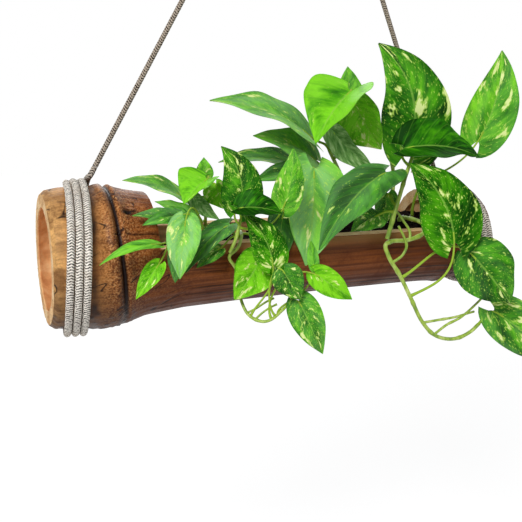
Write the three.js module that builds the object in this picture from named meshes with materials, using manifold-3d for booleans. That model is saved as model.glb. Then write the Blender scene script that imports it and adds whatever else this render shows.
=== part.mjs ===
// A hanging planter made from one bamboo culm, slung from two rope legs and planted with two trailing vines.
// Millimetres, +Z up. The culm lies along +X and its planted front looks towards -Y.
// Pieces are laid out from the centre of the culm's left end and moved at the end, so that the origin is
// the inside top of the hook, where the planter hangs.
import * as THREE from "three";
import { mergeVertices } from "three/addons/utils/BufferGeometryUtils.js";
import Module from "manifold-3d";

const wasm = await Module();
wasm.setup();

const GAP = 0.3;

// Culm: outside radius along its length. The two swellings are the nodes.
const CULM_LENGTH = 380;
const CULM_OUTLINE = [
  [0, 47.5], [3, 50.2], [12, 51.8], [25, 52.4], [35.5, 52.4], [39, 53.6], [41.5, 53.8], [43.5, 52.2],
  [46, 51.8], [48.5, 52.6], [53.5, 50.8], [60, 49], [67, 47.7], [75, 46.6], [100, 44], [150, 42.3],
  [200, 41.2], [250, 40.8], [300, 40.9], [325, 41.2], [335, 41.8], [339, 42.7], [342, 42.8], [345, 41.2],
  [348, 40.6], [356, 40.2], [374, 39.6], [380, 37.8],
];
const CULM_SIDES = 40;
const WALL = 9.5;
const MOUTH_RADIUS = 38;
const LEFT_CUP_RADIUS = 43.5;
const RIGHT_CUP_RADIUS = 33.5;
const LEFT_SEPTUM = [45, 50];
const RIGHT_SEPTUM = [335, 344];
const NODE_LEAN = 8;

// Planting cut-out: a sloping plane, lower at the front, between two saw cuts across the culm.
const CUT_START = 75;
const CUT_END = 330;
const CUT_HEIGHT = 14;
const CUT_SLOPE = 0.1;
const SOIL_START = 72;
const SOIL_DROP_LEFT = 20;
const SOIL_DROP_RIGHT = 1;
const SOIL_MOUND = 6;
const SOIL_CLEAR = 0.35;

// Rope, hook and the point where the two legs meet.
const LEG_DIAMETER = 4;
const COIL_DIAMETER = 5.2;
const COIL_PITCH = 5.75;
const LOOP_DIAMETER = 5;
const WIRE_DIAMETER = 3.5;
const APEX = new THREE.Vector3(212, 0, 369);
const APEX_TO_HANG = 72;
const LEG_CLEARANCE = 9.5;

// Leaves.
const LEAF_THICKNESS = 1.1;
const LEAF_STATIONS = 7;
const LEAF_COLUMNS = 5;
const LIGHT = new THREE.Vector3(-0.4, -0.9, 0.17).normalize();
const SIZES = {
  large: { stem: 1.9, petiole: 1.2 },
  small: { stem: 1.4, petiole: 0.9 },
};

const COLOURS = {
  bamboo: { color: 0x7a4a26, roughness: 0.55, metalness: 0 },
  soil: { color: 0x1d1512, roughness: 1, metalness: 0 },
  rope: { color: 0xcfc8bb, roughness: 0.95, metalness: 0 },
  steel: { color: 0x9da1a5, roughness: 0.35, metalness: 1 },
  stem: { color: 0x9cb548, roughness: 0.55, metalness: 0 },
  leaf: { color: 0x3f8f1c, roughness: 0.4, metalness: 0 },
};

const group = new THREE.Group();
const toHang = new THREE.Vector3(-APEX.x, -APEX.y, -APEX.z - APEX_TO_HANG);

function addPiece(name, geometry, look) {
  const mesh = new THREE.Mesh(geometry, new THREE.MeshStandardMaterial(COLOURS[look]));
  geometry.translate(toHang.x, toHang.y, toHang.z);
  mesh.name = name;
  group.add(mesh);
}

// Joining and cutting of closed solids.
function toSolid(geometry) {
  const bare = geometry.clone();
  bare.deleteAttribute("normal");
  bare.deleteAttribute("uv");
  const merged = mergeVertices(bare, 1e-4);
  return new wasm.Manifold(new wasm.Mesh({
    numProp: 3,
    vertProperties: new Float32Array(merged.attributes.position.array),
    triVerts: new Uint32Array(merged.index.array),
  }));
}

function toGeometry(solid) {
  const mesh = solid.getMesh();
  const geometry = new THREE.BufferGeometry();
  geometry.setAttribute("position", new THREE.BufferAttribute(new Float32Array(mesh.vertProperties), 3));
  geometry.setIndex(new THREE.BufferAttribute(new Uint32Array(mesh.triVerts), 1));
  geometry.computeVertexNormals();
  return geometry;
}

// A solid of revolution about the culm's axis from [x, radius] pairs, closed on the axis at both ends.
function turned(outline) {
  const first = outline[0][0];
  const last = outline[outline.length - 1][0];
  const profile = [new THREE.Vector2(0, first)];
  outline.forEach(([x, radius]) => profile.push(new THREE.Vector2(radius, x)));
  profile.push(new THREE.Vector2(0, last));
  return new THREE.LatheGeometry(profile, CULM_SIDES).rotateZ(-Math.PI / 2);
}

function culmRadius(x) {
  const next = CULM_OUTLINE.findIndex(([station]) => station >= x);
  if (next <= 0) {
    return CULM_OUTLINE[next === 0 ? 0 : CULM_OUTLINE.length - 1][1];
  }
  const [x0, r0] = CULM_OUTLINE[next - 1];
  const [x1, r1] = CULM_OUTLINE[next];
  return r0 + ((r1 - r0) * (x - x0)) / (x1 - x0);
}

function hollow(start, end, inset) {
  const middle = CULM_OUTLINE.filter(([x]) => x > Math.max(start, 60) && x < 325);
  const stations = [start, ...middle.map(([x]) => x), end];
  return turned(stations.map((x) => [x, culmRadius(Math.min(Math.max(x, 59), 325)) - WALL - inset]));
}

// A closed prism along the culm from a section drawn as [y, z] pairs.
function prism(section, start, end) {
  const shape = new THREE.Shape(section.map(([y, z]) => new THREE.Vector2(y, z)));
  const geometry = new THREE.ExtrudeGeometry(shape, { depth: end - start, bevelEnabled: false });
  const axes = new THREE.Matrix4().makeBasis(
    new THREE.Vector3(0, 1, 0), new THREE.Vector3(0, 0, 1), new THREE.Vector3(1, 0, 0));
  return geometry.applyMatrix4(axes).translate(start, 0, 0);
}

// The left node ring runs askew: it slips along the culm towards the underside.
function leanNode(geometry) {
  const points = geometry.attributes.position;
  for (let i = 0; i < points.count; i += 1) {
    const x = points.getX(i);
    const radius = Math.hypot(points.getY(i), points.getZ(i));
    const near = Math.max(0, 1 - Math.abs(x - 43) / 27);
    if (radius > MOUTH_RADIUS && near > 0) {
      const low = (1 - points.getZ(i) / radius) / 2;
      points.setX(i, x + NODE_LEAN * low * low * Math.min(1, 1.3 * near));
    }
  }
  return geometry;
}

const cutHeight = (y) => CUT_HEIGHT + CUT_SLOPE * y;

// The soil is heaped along the middle and lies lower towards the left end.
function soilHeight(x, y) {
  const share = (x - CUT_START) / (CUT_END - CUT_START);
  const drop = SOIL_DROP_LEFT + (SOIL_DROP_RIGHT - SOIL_DROP_LEFT) * share;
  return cutHeight(y) - drop + SOIL_MOUND * Math.cos((Math.PI * y) / 80);
}

function buildCulm() {
  const cut = [[-70, cutHeight(-70)], [70, cutHeight(70)], [70, 90], [-70, 90]];
  const leftCup = [
    [-5, MOUTH_RADIUS], [1, MOUTH_RADIUS], [9, LEFT_CUP_RADIUS], [LEFT_SEPTUM[0], LEFT_CUP_RADIUS],
  ];
  const culm = toSolid(leanNode(turned(CULM_OUTLINE)))
    .subtract(toSolid(turned(leftCup)))
    .subtract(toSolid(turned([[RIGHT_SEPTUM[1], RIGHT_CUP_RADIUS], [CULM_LENGTH + 5, RIGHT_CUP_RADIUS]])))
    .subtract(toSolid(hollow(LEFT_SEPTUM[1], RIGHT_SEPTUM[0], 0)))
    .subtract(toSolid(prism(cut, CUT_START, CUT_END)));
  addPiece("bamboo_culm", toGeometry(culm), "bamboo");
}

function buildSoil() {
  const top = [];
  for (let y = 60; y >= -60; y -= 10) {
    top.push([y, soilHeight(CUT_START, y)]);
  }
  const heap = prism([[-60, -70], [60, -70], ...top], SOIL_START - 5, RIGHT_SEPTUM[0] + 5);
  const rise = (SOIL_DROP_LEFT - SOIL_DROP_RIGHT) / (CUT_END - CUT_START);
  heap.applyMatrix4(new THREE.Matrix4().makeShear(0, rise, 0, 0, 0, 0)).translate(0, 0, -rise * CUT_START);
  const fill = hollow(SOIL_START, RIGHT_SEPTUM[0] - GAP, GAP);
  addPiece("potting_soil", toGeometry(toSolid(fill).intersect(toSolid(heap))), "soil");
}

// A round rope or wire along a curve.
function ring(radius, sides) {
  const corners = [];
  for (let i = 0; i < sides; i += 1) {
    const angle = (2 * Math.PI * i) / sides;
    corners.push(new THREE.Vector2(radius * Math.cos(angle), radius * Math.sin(angle)));
  }
  return new THREE.Shape(corners);
}

function alongCurve(curve, diameter, sides, steps) {
  return new THREE.ExtrudeGeometry(ring(diameter / 2, sides), { steps, extrudePath: curve });
}

// A closed tube through a list of points, its section carried along without twist.
function tubeThrough(points, diameter, sides) {
  const vertices = [];
  const faces = [];
  const side = new THREE.Vector3(0, 1, 0);
  points.forEach((point, i) => {
    const before = points[Math.max(i - 1, 0)];
    const after = points[Math.min(i + 1, points.length - 1)];
    const forward = new THREE.Vector3().subVectors(after, before).normalize();
    side.addScaledVector(forward, -side.dot(forward)).normalize();
    const across = new THREE.Vector3().crossVectors(forward, side);
    for (let k = 0; k < sides; k += 1) {
      const angle = (2 * Math.PI * k) / sides;
      const corner = point.clone()
        .addScaledVector(side, (diameter / 2) * Math.cos(angle))
        .addScaledVector(across, (diameter / 2) * Math.sin(angle));
      vertices.push(corner.x, corner.y, corner.z);
    }
  });
  const last = (points.length - 1) * sides;
  for (let i = 0; i < last; i += sides) {
    for (let k = 0; k < sides; k += 1) {
      const next = (k + 1) % sides;
      faces.push(i + k, i + next, i + sides + next, i + k, i + sides + next, i + sides + k);
    }
  }
  for (let k = 1; k < sides - 1; k += 1) {
    faces.push(0, k + 1, k, last, last + k, last + k + 1);
  }
  const geometry = new THREE.BufferGeometry();
  geometry.setAttribute("position", new THREE.Float32BufferAttribute(vertices, 3));
  geometry.setIndex(faces);
  geometry.computeVertexNormals();
  return geometry;
}

// The rope turns round the culm's ends. Each starts on its leg's line, goes down the back and comes up the
// front, and it moves over by one pitch as it passes the top. A coil leans towards the middle of the culm at
// its top and at its back, by the two lengths given.
const COILS = {
  left: { side: 1, middle: 22.8, turns: 3, lean: [3.5, 7], legFoot: [39.5, 1, 66.5] },
  right: { side: -1, middle: 367.5, turns: 2, lean: [6, 3], legFoot: [346.1, 1, 54] },
};
const COIL_JOINS = 0.1;
const COIL_ENDS = 0.03;
const COIL_MOVES_OVER = 0.2;
const COIL_SEAT = 0.9;

function coilPoint(coil, turn) {
  const angle = 2 * Math.PI * turn;
  const whole = Math.round(turn);
  const passed = whole + THREE.MathUtils.smoothstep(turn - whole, -COIL_MOVES_OVER, COIL_MOVES_OVER);
  const lean = coil.lean[0] * Math.cos(angle) + coil.lean[1] * Math.sin(angle);
  const step = COIL_PITCH * (passed - (coil.turns + 1) / 2);
  const x = coil.middle + coil.side * (lean - step);
  const radius = culmRadius(x) + COIL_SEAT + COIL_DIAMETER / 2;
  return new THREE.Vector3(x, radius * Math.sin(angle), radius * Math.cos(angle));
}

const legDirection = (coil) => new THREE.Vector3(...coil.legFoot).sub(APEX).normalize();

function coilPoints(coil) {
  const foot = new THREE.Vector3(...coil.legFoot);
  const down = legDirection(coil);
  const start = coilPoint(coil, COIL_JOINS);
  const heading = coilPoint(coil, COIL_JOINS + 0.01).sub(start).normalize();
  const bendFrom = foot.clone().addScaledVector(down, COIL_DIAMETER);
  const bend = new THREE.CubicBezierCurve3(
    bendFrom, bendFrom.clone().addScaledVector(down, 6), start.clone().addScaledVector(heading, -27), start);
  const points = [foot, ...bend.getPoints(8)];
  const wound = coil.turns - COIL_ENDS - COIL_JOINS;
  const steps = Math.round(24 * wound);
  for (let i = 1; i <= steps; i += 1) {
    points.push(coilPoint(coil, COIL_JOINS + (wound * i) / steps));
  }
  const end = points[points.length - 1];
  const way = end.clone().sub(points[points.length - 2]).normalize();
  points.push(end.clone().addScaledVector(way, COIL_DIAMETER));
  return points;
}

// Least clear distance between two turns of one rope, on points a few diameters apart along it.
function leastGap(points, diameter) {
  const fine = new THREE.CatmullRomCurve3(points).getSpacedPoints(900);
  const skip = Math.ceil((4 * diameter) / fine[0].distanceTo(fine[1]));
  let least = Infinity;
  for (let i = 0; i < fine.length; i += 1) {
    for (let k = i + skip; k < fine.length; k += 1) {
      least = Math.min(least, fine[i].distanceTo(fine[k]));
    }
  }
  return least - diameter;
}

function buildRopes() {
  Object.entries(COILS).forEach(([end, coil]) => {
    const points = coilPoints(coil);
    console.log(`rope_coil_${end}: least gap to itself ${leastGap(points, COIL_DIAMETER).toFixed(2)} mm`);
    addPiece(`rope_coil_${end}`, tubeThrough(points, COIL_DIAMETER, 6), "rope");
    const down = legDirection(coil);
    const foot = new THREE.Vector3(...coil.legFoot).addScaledVector(down, -GAP);
    const top = APEX.clone().addScaledVector(down, LEG_CLEARANCE);
    const leg = new THREE.LineCurve3(top, foot);
    const steps = Math.round(leg.getLength() / (3 * LEG_DIAMETER));
    console.log(`rope_leg_${end}: length ${leg.getLength().toFixed(1)} mm`);
    addPiece(`rope_leg_${end}`, alongCurve(leg, LEG_DIAMETER, 8, steps), "rope");
  });
}

// Top fittings: the knot where the legs meet, the loop above it and the S hook that it hangs in.
const HANG_HEIGHT = APEX.z + APEX_TO_HANG;
const KNOT_HALF = new THREE.Vector3(8, 6.5, 8);
const HOOK_TOP_RADIUS = 8.75;
const HOOK_LOW_RADIUS = 7.75;
const HOOK_TOP_CENTRE = HANG_HEIGHT - HOOK_TOP_RADIUS + WIRE_DIAMETER / 2;
const HOOK_LOW_CENTRE = HOOK_TOP_CENTRE - 26;
const PIVOT_HEIGHT = HOOK_LOW_CENTRE - HOOK_LOW_RADIUS;

function arc(centre, radius, from, to, steps) {
  const points = [];
  for (let i = 0; i <= steps; i += 1) {
    const angle = THREE.MathUtils.degToRad(from + ((to - from) * i) / steps);
    points.push(new THREE.Vector3(APEX.x, radius * Math.cos(angle), centre + radius * Math.sin(angle)));
  }
  return points;
}

function buildTop() {
  const knot = new THREE.SphereGeometry(1, 16, 10).scale(KNOT_HALF.x, KNOT_HALF.y, KNOT_HALF.z);
  addPiece("rope_knot", knot.translate(APEX.x, APEX.y, APEX.z), "rope");

  const foot = APEX.z + KNOT_HALF.z + GAP;
  const over = WIRE_DIAMETER / 2 + LOOP_DIAMETER / 2 + 2 * GAP;
  const half = [
    [3.2, foot], [3.4, foot + 5], [5.4, foot + 11], [6, PIVOT_HEIGHT - 3],
    [over * 0.9, PIVOT_HEIGHT + over * 0.5],
  ];
  const right = half.map(([x, z]) => new THREE.Vector3(APEX.x + x, 0, z));
  const left = half.map(([x, z]) => new THREE.Vector3(APEX.x - x, 0, z)).reverse();
  const crown = new THREE.Vector3(APEX.x, 0, PIVOT_HEIGHT + over);
  const loop = new THREE.CatmullRomCurve3([...right, crown, ...left]);
  addPiece("hanging_loop", alongCurve(loop, LOOP_DIAMETER, 8, 28), "rope");

  const upper = arc(HOOK_TOP_CENTRE, HOOK_TOP_RADIUS, -30, 200, 12);
  const lower = arc(HOOK_LOW_CENTRE, HOOK_LOW_RADIUS, 20, -200, 12);
  const wire = new THREE.CatmullRomCurve3([...upper, ...lower]);
  addPiece("s_hook", alongCurve(wire, WIRE_DIAMETER, 8, 40), "steel");
}

// Stems: points on each. A first point without a height stands on the soil, the others start beside a vine.
const STEMS = {
  large_stem: [[261, -51, 6.8], [268.7, -51, 31.6], [279.2, -47, 55.2], [288.7, -42, 71]],
  large_runner: [[301, 12], [307, 11, 41], [302, 10, 75], [290, 9, 95], [276, 8, 110], [262, 8, 119]],
  large_left_stem: [[265, 12], [257, 11, 42], [249, 7, 58], [236, 1, 76]],
  large_vine: [
    [298, -14], [303, -30, 18], [304, -41, 15], [300, -46, 9], [284, -47.5, 4.3], [266, -50, 4.5],
    [260, -51, 2], [263, -52, -8], [273, -53, -23], [284, -54, -43], [295, -56, -64], [306, -58, -76],
    [319, -59, -81], [331, -60, -81], [342, -62, -76], [349, -62, -71],
  ],
  small_stem: [[126, -49.4, 4.6], [129, -54, 15.6], [132.5, -54, 28]],
  small_left_stem: [[122, -6], [120, -14, 37], [119, -18, 47], [119, -20, 56]],
  small_vine: [
    [143, -22], [142, -28, 16], [139, -40, 16], [133, -48, 8], [126, -47.8, 1], [131.5, -46.5, -8],
    [134.5, -45.5, -18], [134.5, -48, -30], [137, -55, -41], [141, -61, -45], [146, -66, -46],
    [151, -69, -44], [158, -74, -36],
  ],
};

// Side shoots, grown out of a vine in one piece with it.
const SHOOTS = {
  large_vine: [
    [[296, -56, -65], [312, -57, -64], [327, -58, -63], [341, -58, -61], [348, -57, -60.5]],
    [[306, -58, -76], [320, -57, -69], [333, -58, -64], [350, -59, -52], [356, -59, -47]],
    [[286, -47.3, 4.6], [287, -45, 11], [283, -42, 19], [276, -38, 30]],
    [[266, -52.3, -12.5], [274, -54, -7], [278, -54, 0], [276, -53, 8], [271, -52, 17]],
  ],
  small_vine: [
    [[141, -61, -45], [147, -61, -40.5], [152, -62.5, -37], [157, -65, -34]],
    [[137, -55, -41], [144, -56, -38], [151, -59, -33], [156, -62, -30]],
  ],
};

// Leaves: base and tip of the midrib, width, roll away from the light, arch and fold of the blade, then where
// the petiole ends: a stem and the share of its length, or the soil and a place on it. A last number is the
// sideways bow of the midrib.
const LEAVES = [
  ["large_leaf_a", [215, -6, 87], [123, -14, 115], 43, 50, 0.1, 0.18, "large_left_stem", 1],
  ["large_leaf_b", [224, 2, 68], [164, -2, 89], 36, 40, 0.1, 0.18, "large_left_stem", 0.8],
  ["large_leaf_c", [223, 31, 63], [145, 27, 67], 28, 50, 0.08, 0.26, "large_left_stem", 0.5],
  ["large_leaf_d", [249, -10, 125], [206, -30, 82], 54, 32, 0.08, 0.6, "large_runner", 1],
  ["large_leaf_e", [261, 14, 116], [257, 10, 147], 25, 10, 0.05, 0.14, "large_runner", 0.9],
  ["large_leaf_g", [257, 0, 119], [283, -6, 77], 44, 38, 0.05, 0.6, "large_runner", 0.86],
  ["large_leaf_h", [226, -16, 95], [273, -18, 57], 28, 148, 0.05, 0.14, "large_left_stem", 0.9],
  ["large_leaf_i", [306, -14, 75], [273, -10, 165], 60, 0, 0.06, 0.1, "large_stem", 1, -0.15],
  ["large_leaf_j", [282, -40, 79], [345, -58, 71], 50, -42, 0.1, 0.4, "large_stem", 0.9],
  ["large_leaf_k", [364, -32, 83], [385, -32, 162], 42, -8, 0.08, 0.25, "soil", [318, -4], -0.06],
  ["large_leaf_l", [312, -72, 3], [277, -54, 68], 51, 5, 0.06, 0.1, "large_vine", 0.6, -0.1],
  ["large_leaf_m", [330, -70, -6], [365, -82, -50], 49, 0, 0.08, 0.14, "large_vine", 0.515],
  ["large_leaf_n", [362, -65.5, -58.5], [432, -77, -111], 42, 0, 0.06, 0.14, "large_vine", 1],
  ["large_leaf_p", [230, 9, 58], [163, -2, 52], 28, 40, 0.06, 0.26, "large_left_stem", 0.56],
  ["large_leaf_q", [207.5, -25, 64], [188.5, -49, -11], 60, -24, 0.06, 0.14, "soil", [213, -12]],
  ["large_leaf_r", [175, -37, 31], [162, -46, -15], 25, -22, 0.03, 0.1, "soil", [186, -14]],
  ["large_leaf_s", [149, -55, 0], [126, -56.5, -30], 33, -18, 0.06, 0.18, "soil", [143, -16]],
  ["large_leaf_t", [267.5, -38, 60], [189, -69, 4], 45, 38, 0.1, 0.14, "large_stem", 0.7],
  ["large_leaf_u", [269, -38, 43], [262, -40, 14], 19, 0, 0.06, 0.14, "large_stem", 0.4],
  ["large_leaf_v", [254.5, -46, 25.5], [224, -56, 15], 22, 20, 0.08, 0.14, "large_stem", 0.32],
  ["small_leaf_a", [103, -8, 43], [55, -16, 57], 20, 50, 0.1, 0.18, "small_left_stem", 0.75],
  ["small_leaf_b", [113, -17, 25], [76, -27, 42], 20, 55, 0.04, 0.12, "small_left_stem", 0.4],
  ["small_leaf_c", [94, -38, 28], [55, -43, 34], 14, 40, 0.08, 0.26, "soil", [98, -20]],
  ["small_leaf_d", [116, -30, 57], [94, -40, 40], 32, 32, 0.08, 0.6, "small_left_stem", 1],
  ["small_leaf_e", [120, -12, 57], [119, -14, 73], 14, 10, 0.05, 0.14, "small_left_stem", 0.9],
  ["small_leaf_g", [124.2, -25, 53.5], [131.2, -30, 34], 22, 34, 0.05, 0.45, "small_left_stem", 0.93],
  ["small_leaf_h", [103.5, -31, 45], [124, -34, 27], 14, 150, 0.05, 0.14, "small_left_stem", 0.6],
  ["small_leaf_i", [135, -46, 35], [121, -45, 82], 31, 0, 0.06, 0.1, "small_stem", 1, -0.15],
  ["small_leaf_j", [128, -60, 38], [160, -69, 33], 26, -42, 0.1, 0.4, "small_stem", 0.9],
  ["small_leaf_k", [166, -56, 36], [173, -58, 81], 23, -8, 0.08, 0.25, "small_stem", 0.8, -0.06],
  ["small_leaf_l", [151.5, -70, -3], [131.5, -61, 34], 26, 5, 0.06, 0.1, "small_vine", 0.78, -0.1],
  ["small_leaf_m", [155.5, -78, -6], [167, -84, -28], 23, 0, 0.08, 0.14, "small_vine", 0.94],
  ["small_leaf_n", [168, -79, -29], [186, -84, -71], 25, 0, 0.06, 0.14, "small_vine", 1],
  ["small_leaf_o", [69, -58, 15], [27, -64, 4], 9, 30, 0.16, 0.18, "soil", [92, -19]],
  ["small_leaf_p", [91, -48, 34], [60, -52, 28], 14, 25, 0.06, 0.26, "soil", [106, -22]],
  ["small_leaf_q", [88.5, -62, 32], [81.5, -68, -9], 24, 0, 0.06, 0.14, "soil", [116, -25]],
  ["small_leaf_r", [88, -52, 14], [82, -55, -14], 16, 8, 0.05, 0.14, "soil", [91, -13]],
  ["small_leaf_s", [70, -57.5, 1], [52, -60.5, -22], 14, 4, 0.06, 0.18, "soil", [88, -14]],
  ["small_leaf_t", [129, -42, 24.5], [90, -54, -8], 23, 38, 0.1, 0.14, "small_stem", 0.5],
  ["small_leaf_v", [118, -50, 8], [99, -52, -5], 13, 20, 0.08, 0.14, "small_vine", 0.24],
  ["small_leaf_w", [180, -80, -10], [209, -86, -31], 20, -5, 0.08, 0.14, "small_vine", 0.91],
  ["small_leaf_x", [183, -74, -7], [179, -76, 14], 9, 0, -0.15, 0.18, "small_vine", 0.96],
];

const sizeOf = (name) => SIZES[name.split("_")[0]];
const vector = (list) => new THREE.Vector3(...list);

const smoothCurve = (points) => new THREE.CatmullRomCurve3(points, false, "centripetal");

// A stem on the soil starts upright, just clear of it.
function stemCurve(name) {
  const [root, ...rest] = STEMS[name];
  if (root.length === 3) {
    return smoothCurve(STEMS[name].map(vector));
  }
  const foot = soilHeight(...root) + GAP + SOIL_CLEAR * sizeOf(name).stem;
  return smoothCurve([[...root, foot], [...root, foot + 3], ...rest].map(vector));
}

function buildStems() {
  Object.keys(STEMS).forEach((name) => {
    const { stem, petiole } = sizeOf(name);
    const curve = stemCurve(name);
    let solid = toSolid(alongCurve(curve, 2 * stem, 6, Math.max(8, Math.round(curve.getLength() / 11))));
    (SHOOTS[name] ?? []).forEach((points) => {
      solid = solid.add(toSolid(alongCurve(smoothCurve(points.map(vector)), 2 * petiole, 5, 6)));
    });
    addPiece(name, toGeometry(solid), "stem");
  });
}

// The blade's own axes: along the midrib, out of the upper face, and across.
function leafAxes(base, tip, roll) {
  const along = tip.clone().sub(base).normalize();
  const facing = LIGHT.clone().addScaledVector(along, -LIGHT.dot(along)).normalize();
  const turn = THREE.MathUtils.degToRad(roll);
  const up = facing.clone().multiplyScalar(Math.cos(turn))
    .addScaledVector(new THREE.Vector3().crossVectors(along, facing), Math.sin(turn));
  return { along, up, across: new THREE.Vector3().crossVectors(up, along) };
}

// A heart-shaped blade point: t runs from the base to the tip, s from edge to edge. The halves stand square
// to a bowed midrib.
function bladePoint(leaf, t, s, lift) {
  const half = (leaf.width / 2) * 2.53 * t ** 0.45 * (1 - t) ** 1.08;
  const place = t - 0.15 * s * s * (1 - t) ** 3;
  const swell = 4 * leaf.length * place * (1 - place);
  const slope = 4 * leaf.bow * (1 - 2 * place);
  const reach = (s * half) / Math.hypot(1, slope);
  return leaf.base.clone()
    .addScaledVector(leaf.axes.along, leaf.length * place - slope * reach)
    .addScaledVector(leaf.axes.up, leaf.arch * swell + leaf.fold * Math.abs(s) * half + lift)
    .addScaledVector(leaf.axes.across, leaf.bow * swell + reach);
}

function bladeGeometry(leaf) {
  const vertices = [];
  const faces = [];
  const layer = LEAF_STATIONS * LEAF_COLUMNS;
  [LEAF_THICKNESS / 2, -LEAF_THICKNESS / 2].forEach((lift) => {
    for (let i = 0; i < LEAF_STATIONS; i += 1) {
      const t = 0.015 + (0.965 * i) / (LEAF_STATIONS - 1);
      for (let k = 0; k < LEAF_COLUMNS; k += 1) {
        const point = bladePoint(leaf, t, (2 * k) / (LEAF_COLUMNS - 1) - 1, lift);
        vertices.push(point.x, point.y, point.z);
      }
    }
  });
  const quad = (a, b, c, d) => faces.push(a, b, c, a, c, d);
  for (let i = 0; i < LEAF_STATIONS - 1; i += 1) {
    for (let k = 0; k < LEAF_COLUMNS - 1; k += 1) {
      const a = i * LEAF_COLUMNS + k;
      const b = a + LEAF_COLUMNS;
      quad(a, b, b + 1, a + 1);
      quad(layer + a, layer + a + 1, layer + b + 1, layer + b);
    }
  }
  const rim = [];
  for (let k = 0; k < LEAF_COLUMNS - 1; k += 1) {
    rim.push(k);
  }
  for (let i = 0; i < LEAF_STATIONS - 1; i += 1) {
    rim.push(i * LEAF_COLUMNS + LEAF_COLUMNS - 1);
  }
  for (let k = LEAF_COLUMNS - 1; k > 0; k -= 1) {
    rim.push((LEAF_STATIONS - 1) * LEAF_COLUMNS + k);
  }
  for (let i = LEAF_STATIONS - 1; i > 0; i -= 1) {
    rim.push(i * LEAF_COLUMNS);
  }
  rim.forEach((a, i) => {
    const b = rim[(i + 1) % rim.length];
    quad(a, b, layer + b, layer + a);
  });
  const geometry = new THREE.BufferGeometry();
  geometry.setAttribute("position", new THREE.Float32BufferAttribute(vertices, 3));
  geometry.setIndex(faces);
  return geometry;
}

// The petiole leaves the blade along its midrib and ends square to the stem or the soil, just clear of it.
function petioleCurve(leaf, holder, place) {
  const start = bladePoint(leaf, 0.12, 0, 0);
  let end;
  let outward;
  if (holder === "soil") {
    end = vector([...place, soilHeight(...place) + GAP + SOIL_CLEAR * leaf.petiole]);
    outward = new THREE.Vector3(0, 0, 1);
  } else {
    const curve = stemCurve(holder);
    const along = curve.getTangentAt(place);
    const centre = curve.getPointAt(place);
    outward = leaf.base.clone().sub(centre);
    if (place < 1) {
      outward.addScaledVector(along, -outward.dot(along));
    } else {
      outward.copy(along);
    }
    outward.normalize();
    const clear = place < 1 ? sizeOf(holder).stem + 3 * GAP : GAP;
    end = centre.addScaledVector(outward, clear);
  }
  const span = start.distanceTo(end);
  const heading = leaf.base.clone().sub(start).normalize();
  const first = leaf.base.clone().addScaledVector(heading, 0.45 * span);
  const second = end.clone().addScaledVector(outward, (holder === "soil" ? 0.5 : 0.38) * span);
  return new THREE.CubicBezierCurve3(start, first, second, end);
}

function buildLeaves() {
  LEAVES.forEach(([name, from, to, width, roll, arch, fold, holder, place, bow = 0]) => {
    const base = vector(from);
    const tip = vector(to);
    const length = base.distanceTo(tip);
    const axes = leafAxes(base, tip, roll);
    const leaf = { base, length, axes, width, arch, fold, bow, petiole: sizeOf(name).petiole };
    const curve = petioleCurve(leaf, holder, place);
    const steps = Math.max(3, Math.round(curve.getLength() / 11));
    const petiole = alongCurve(curve, 2 * leaf.petiole, 5, steps);
    addPiece(name, toGeometry(toSolid(bladeGeometry(leaf)).add(toSolid(petiole))), "leaf");
  });
}

buildCulm();
buildSoil();
buildRopes();
buildTop();
buildStems();
buildLeaves();

export default group;
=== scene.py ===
import math

import bmesh
import bpy
import numpy as np
from mathutils import Matrix, Vector


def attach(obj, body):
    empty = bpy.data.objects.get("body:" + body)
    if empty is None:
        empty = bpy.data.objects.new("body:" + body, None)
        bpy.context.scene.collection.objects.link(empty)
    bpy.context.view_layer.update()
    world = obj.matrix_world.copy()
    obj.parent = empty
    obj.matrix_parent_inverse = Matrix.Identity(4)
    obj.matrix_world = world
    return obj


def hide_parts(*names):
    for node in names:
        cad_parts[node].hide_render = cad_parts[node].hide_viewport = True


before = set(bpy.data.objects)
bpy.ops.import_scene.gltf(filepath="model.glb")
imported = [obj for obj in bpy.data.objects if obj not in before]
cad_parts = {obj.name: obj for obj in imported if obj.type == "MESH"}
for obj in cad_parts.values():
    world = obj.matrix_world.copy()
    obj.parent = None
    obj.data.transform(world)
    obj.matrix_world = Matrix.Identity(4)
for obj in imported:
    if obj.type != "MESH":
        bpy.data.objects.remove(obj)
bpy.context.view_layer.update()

# A hanging planter made from one bamboo culm, slung from two rope legs and planted with two trailing vines.
# Lengths are millimetres from the centre of the culm's left end. metres() moves them to the hanging point.
HANG = np.array([212.0, 0.0, 441.0])
RANDOM = np.random.default_rng(7)

# Camera and floor. Near and far are a distance in metres from below the hook and the floor's own white there.
CAMERA_AT = (-63.1, -538.3, 89.8)
CAMERA_YAW = 23.64
CAMERA_PITCH = 9.93
FOCAL_PIXELS = 721.9
IMAGE_PIXELS = 522
SENSOR_WIDTH = 36.0
LAMPS_AIM_AT = (190.0, 0.0, 40.0)
FLOOR_DROP = 860.0
FLOOR_RADIUS = 9000.0
FLOOR_NEAR = (0.9, 1.2)
FLOOR_FAR = (2.4, 1.42)
FLOOR_GLOW_SHARE = 0.7

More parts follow.
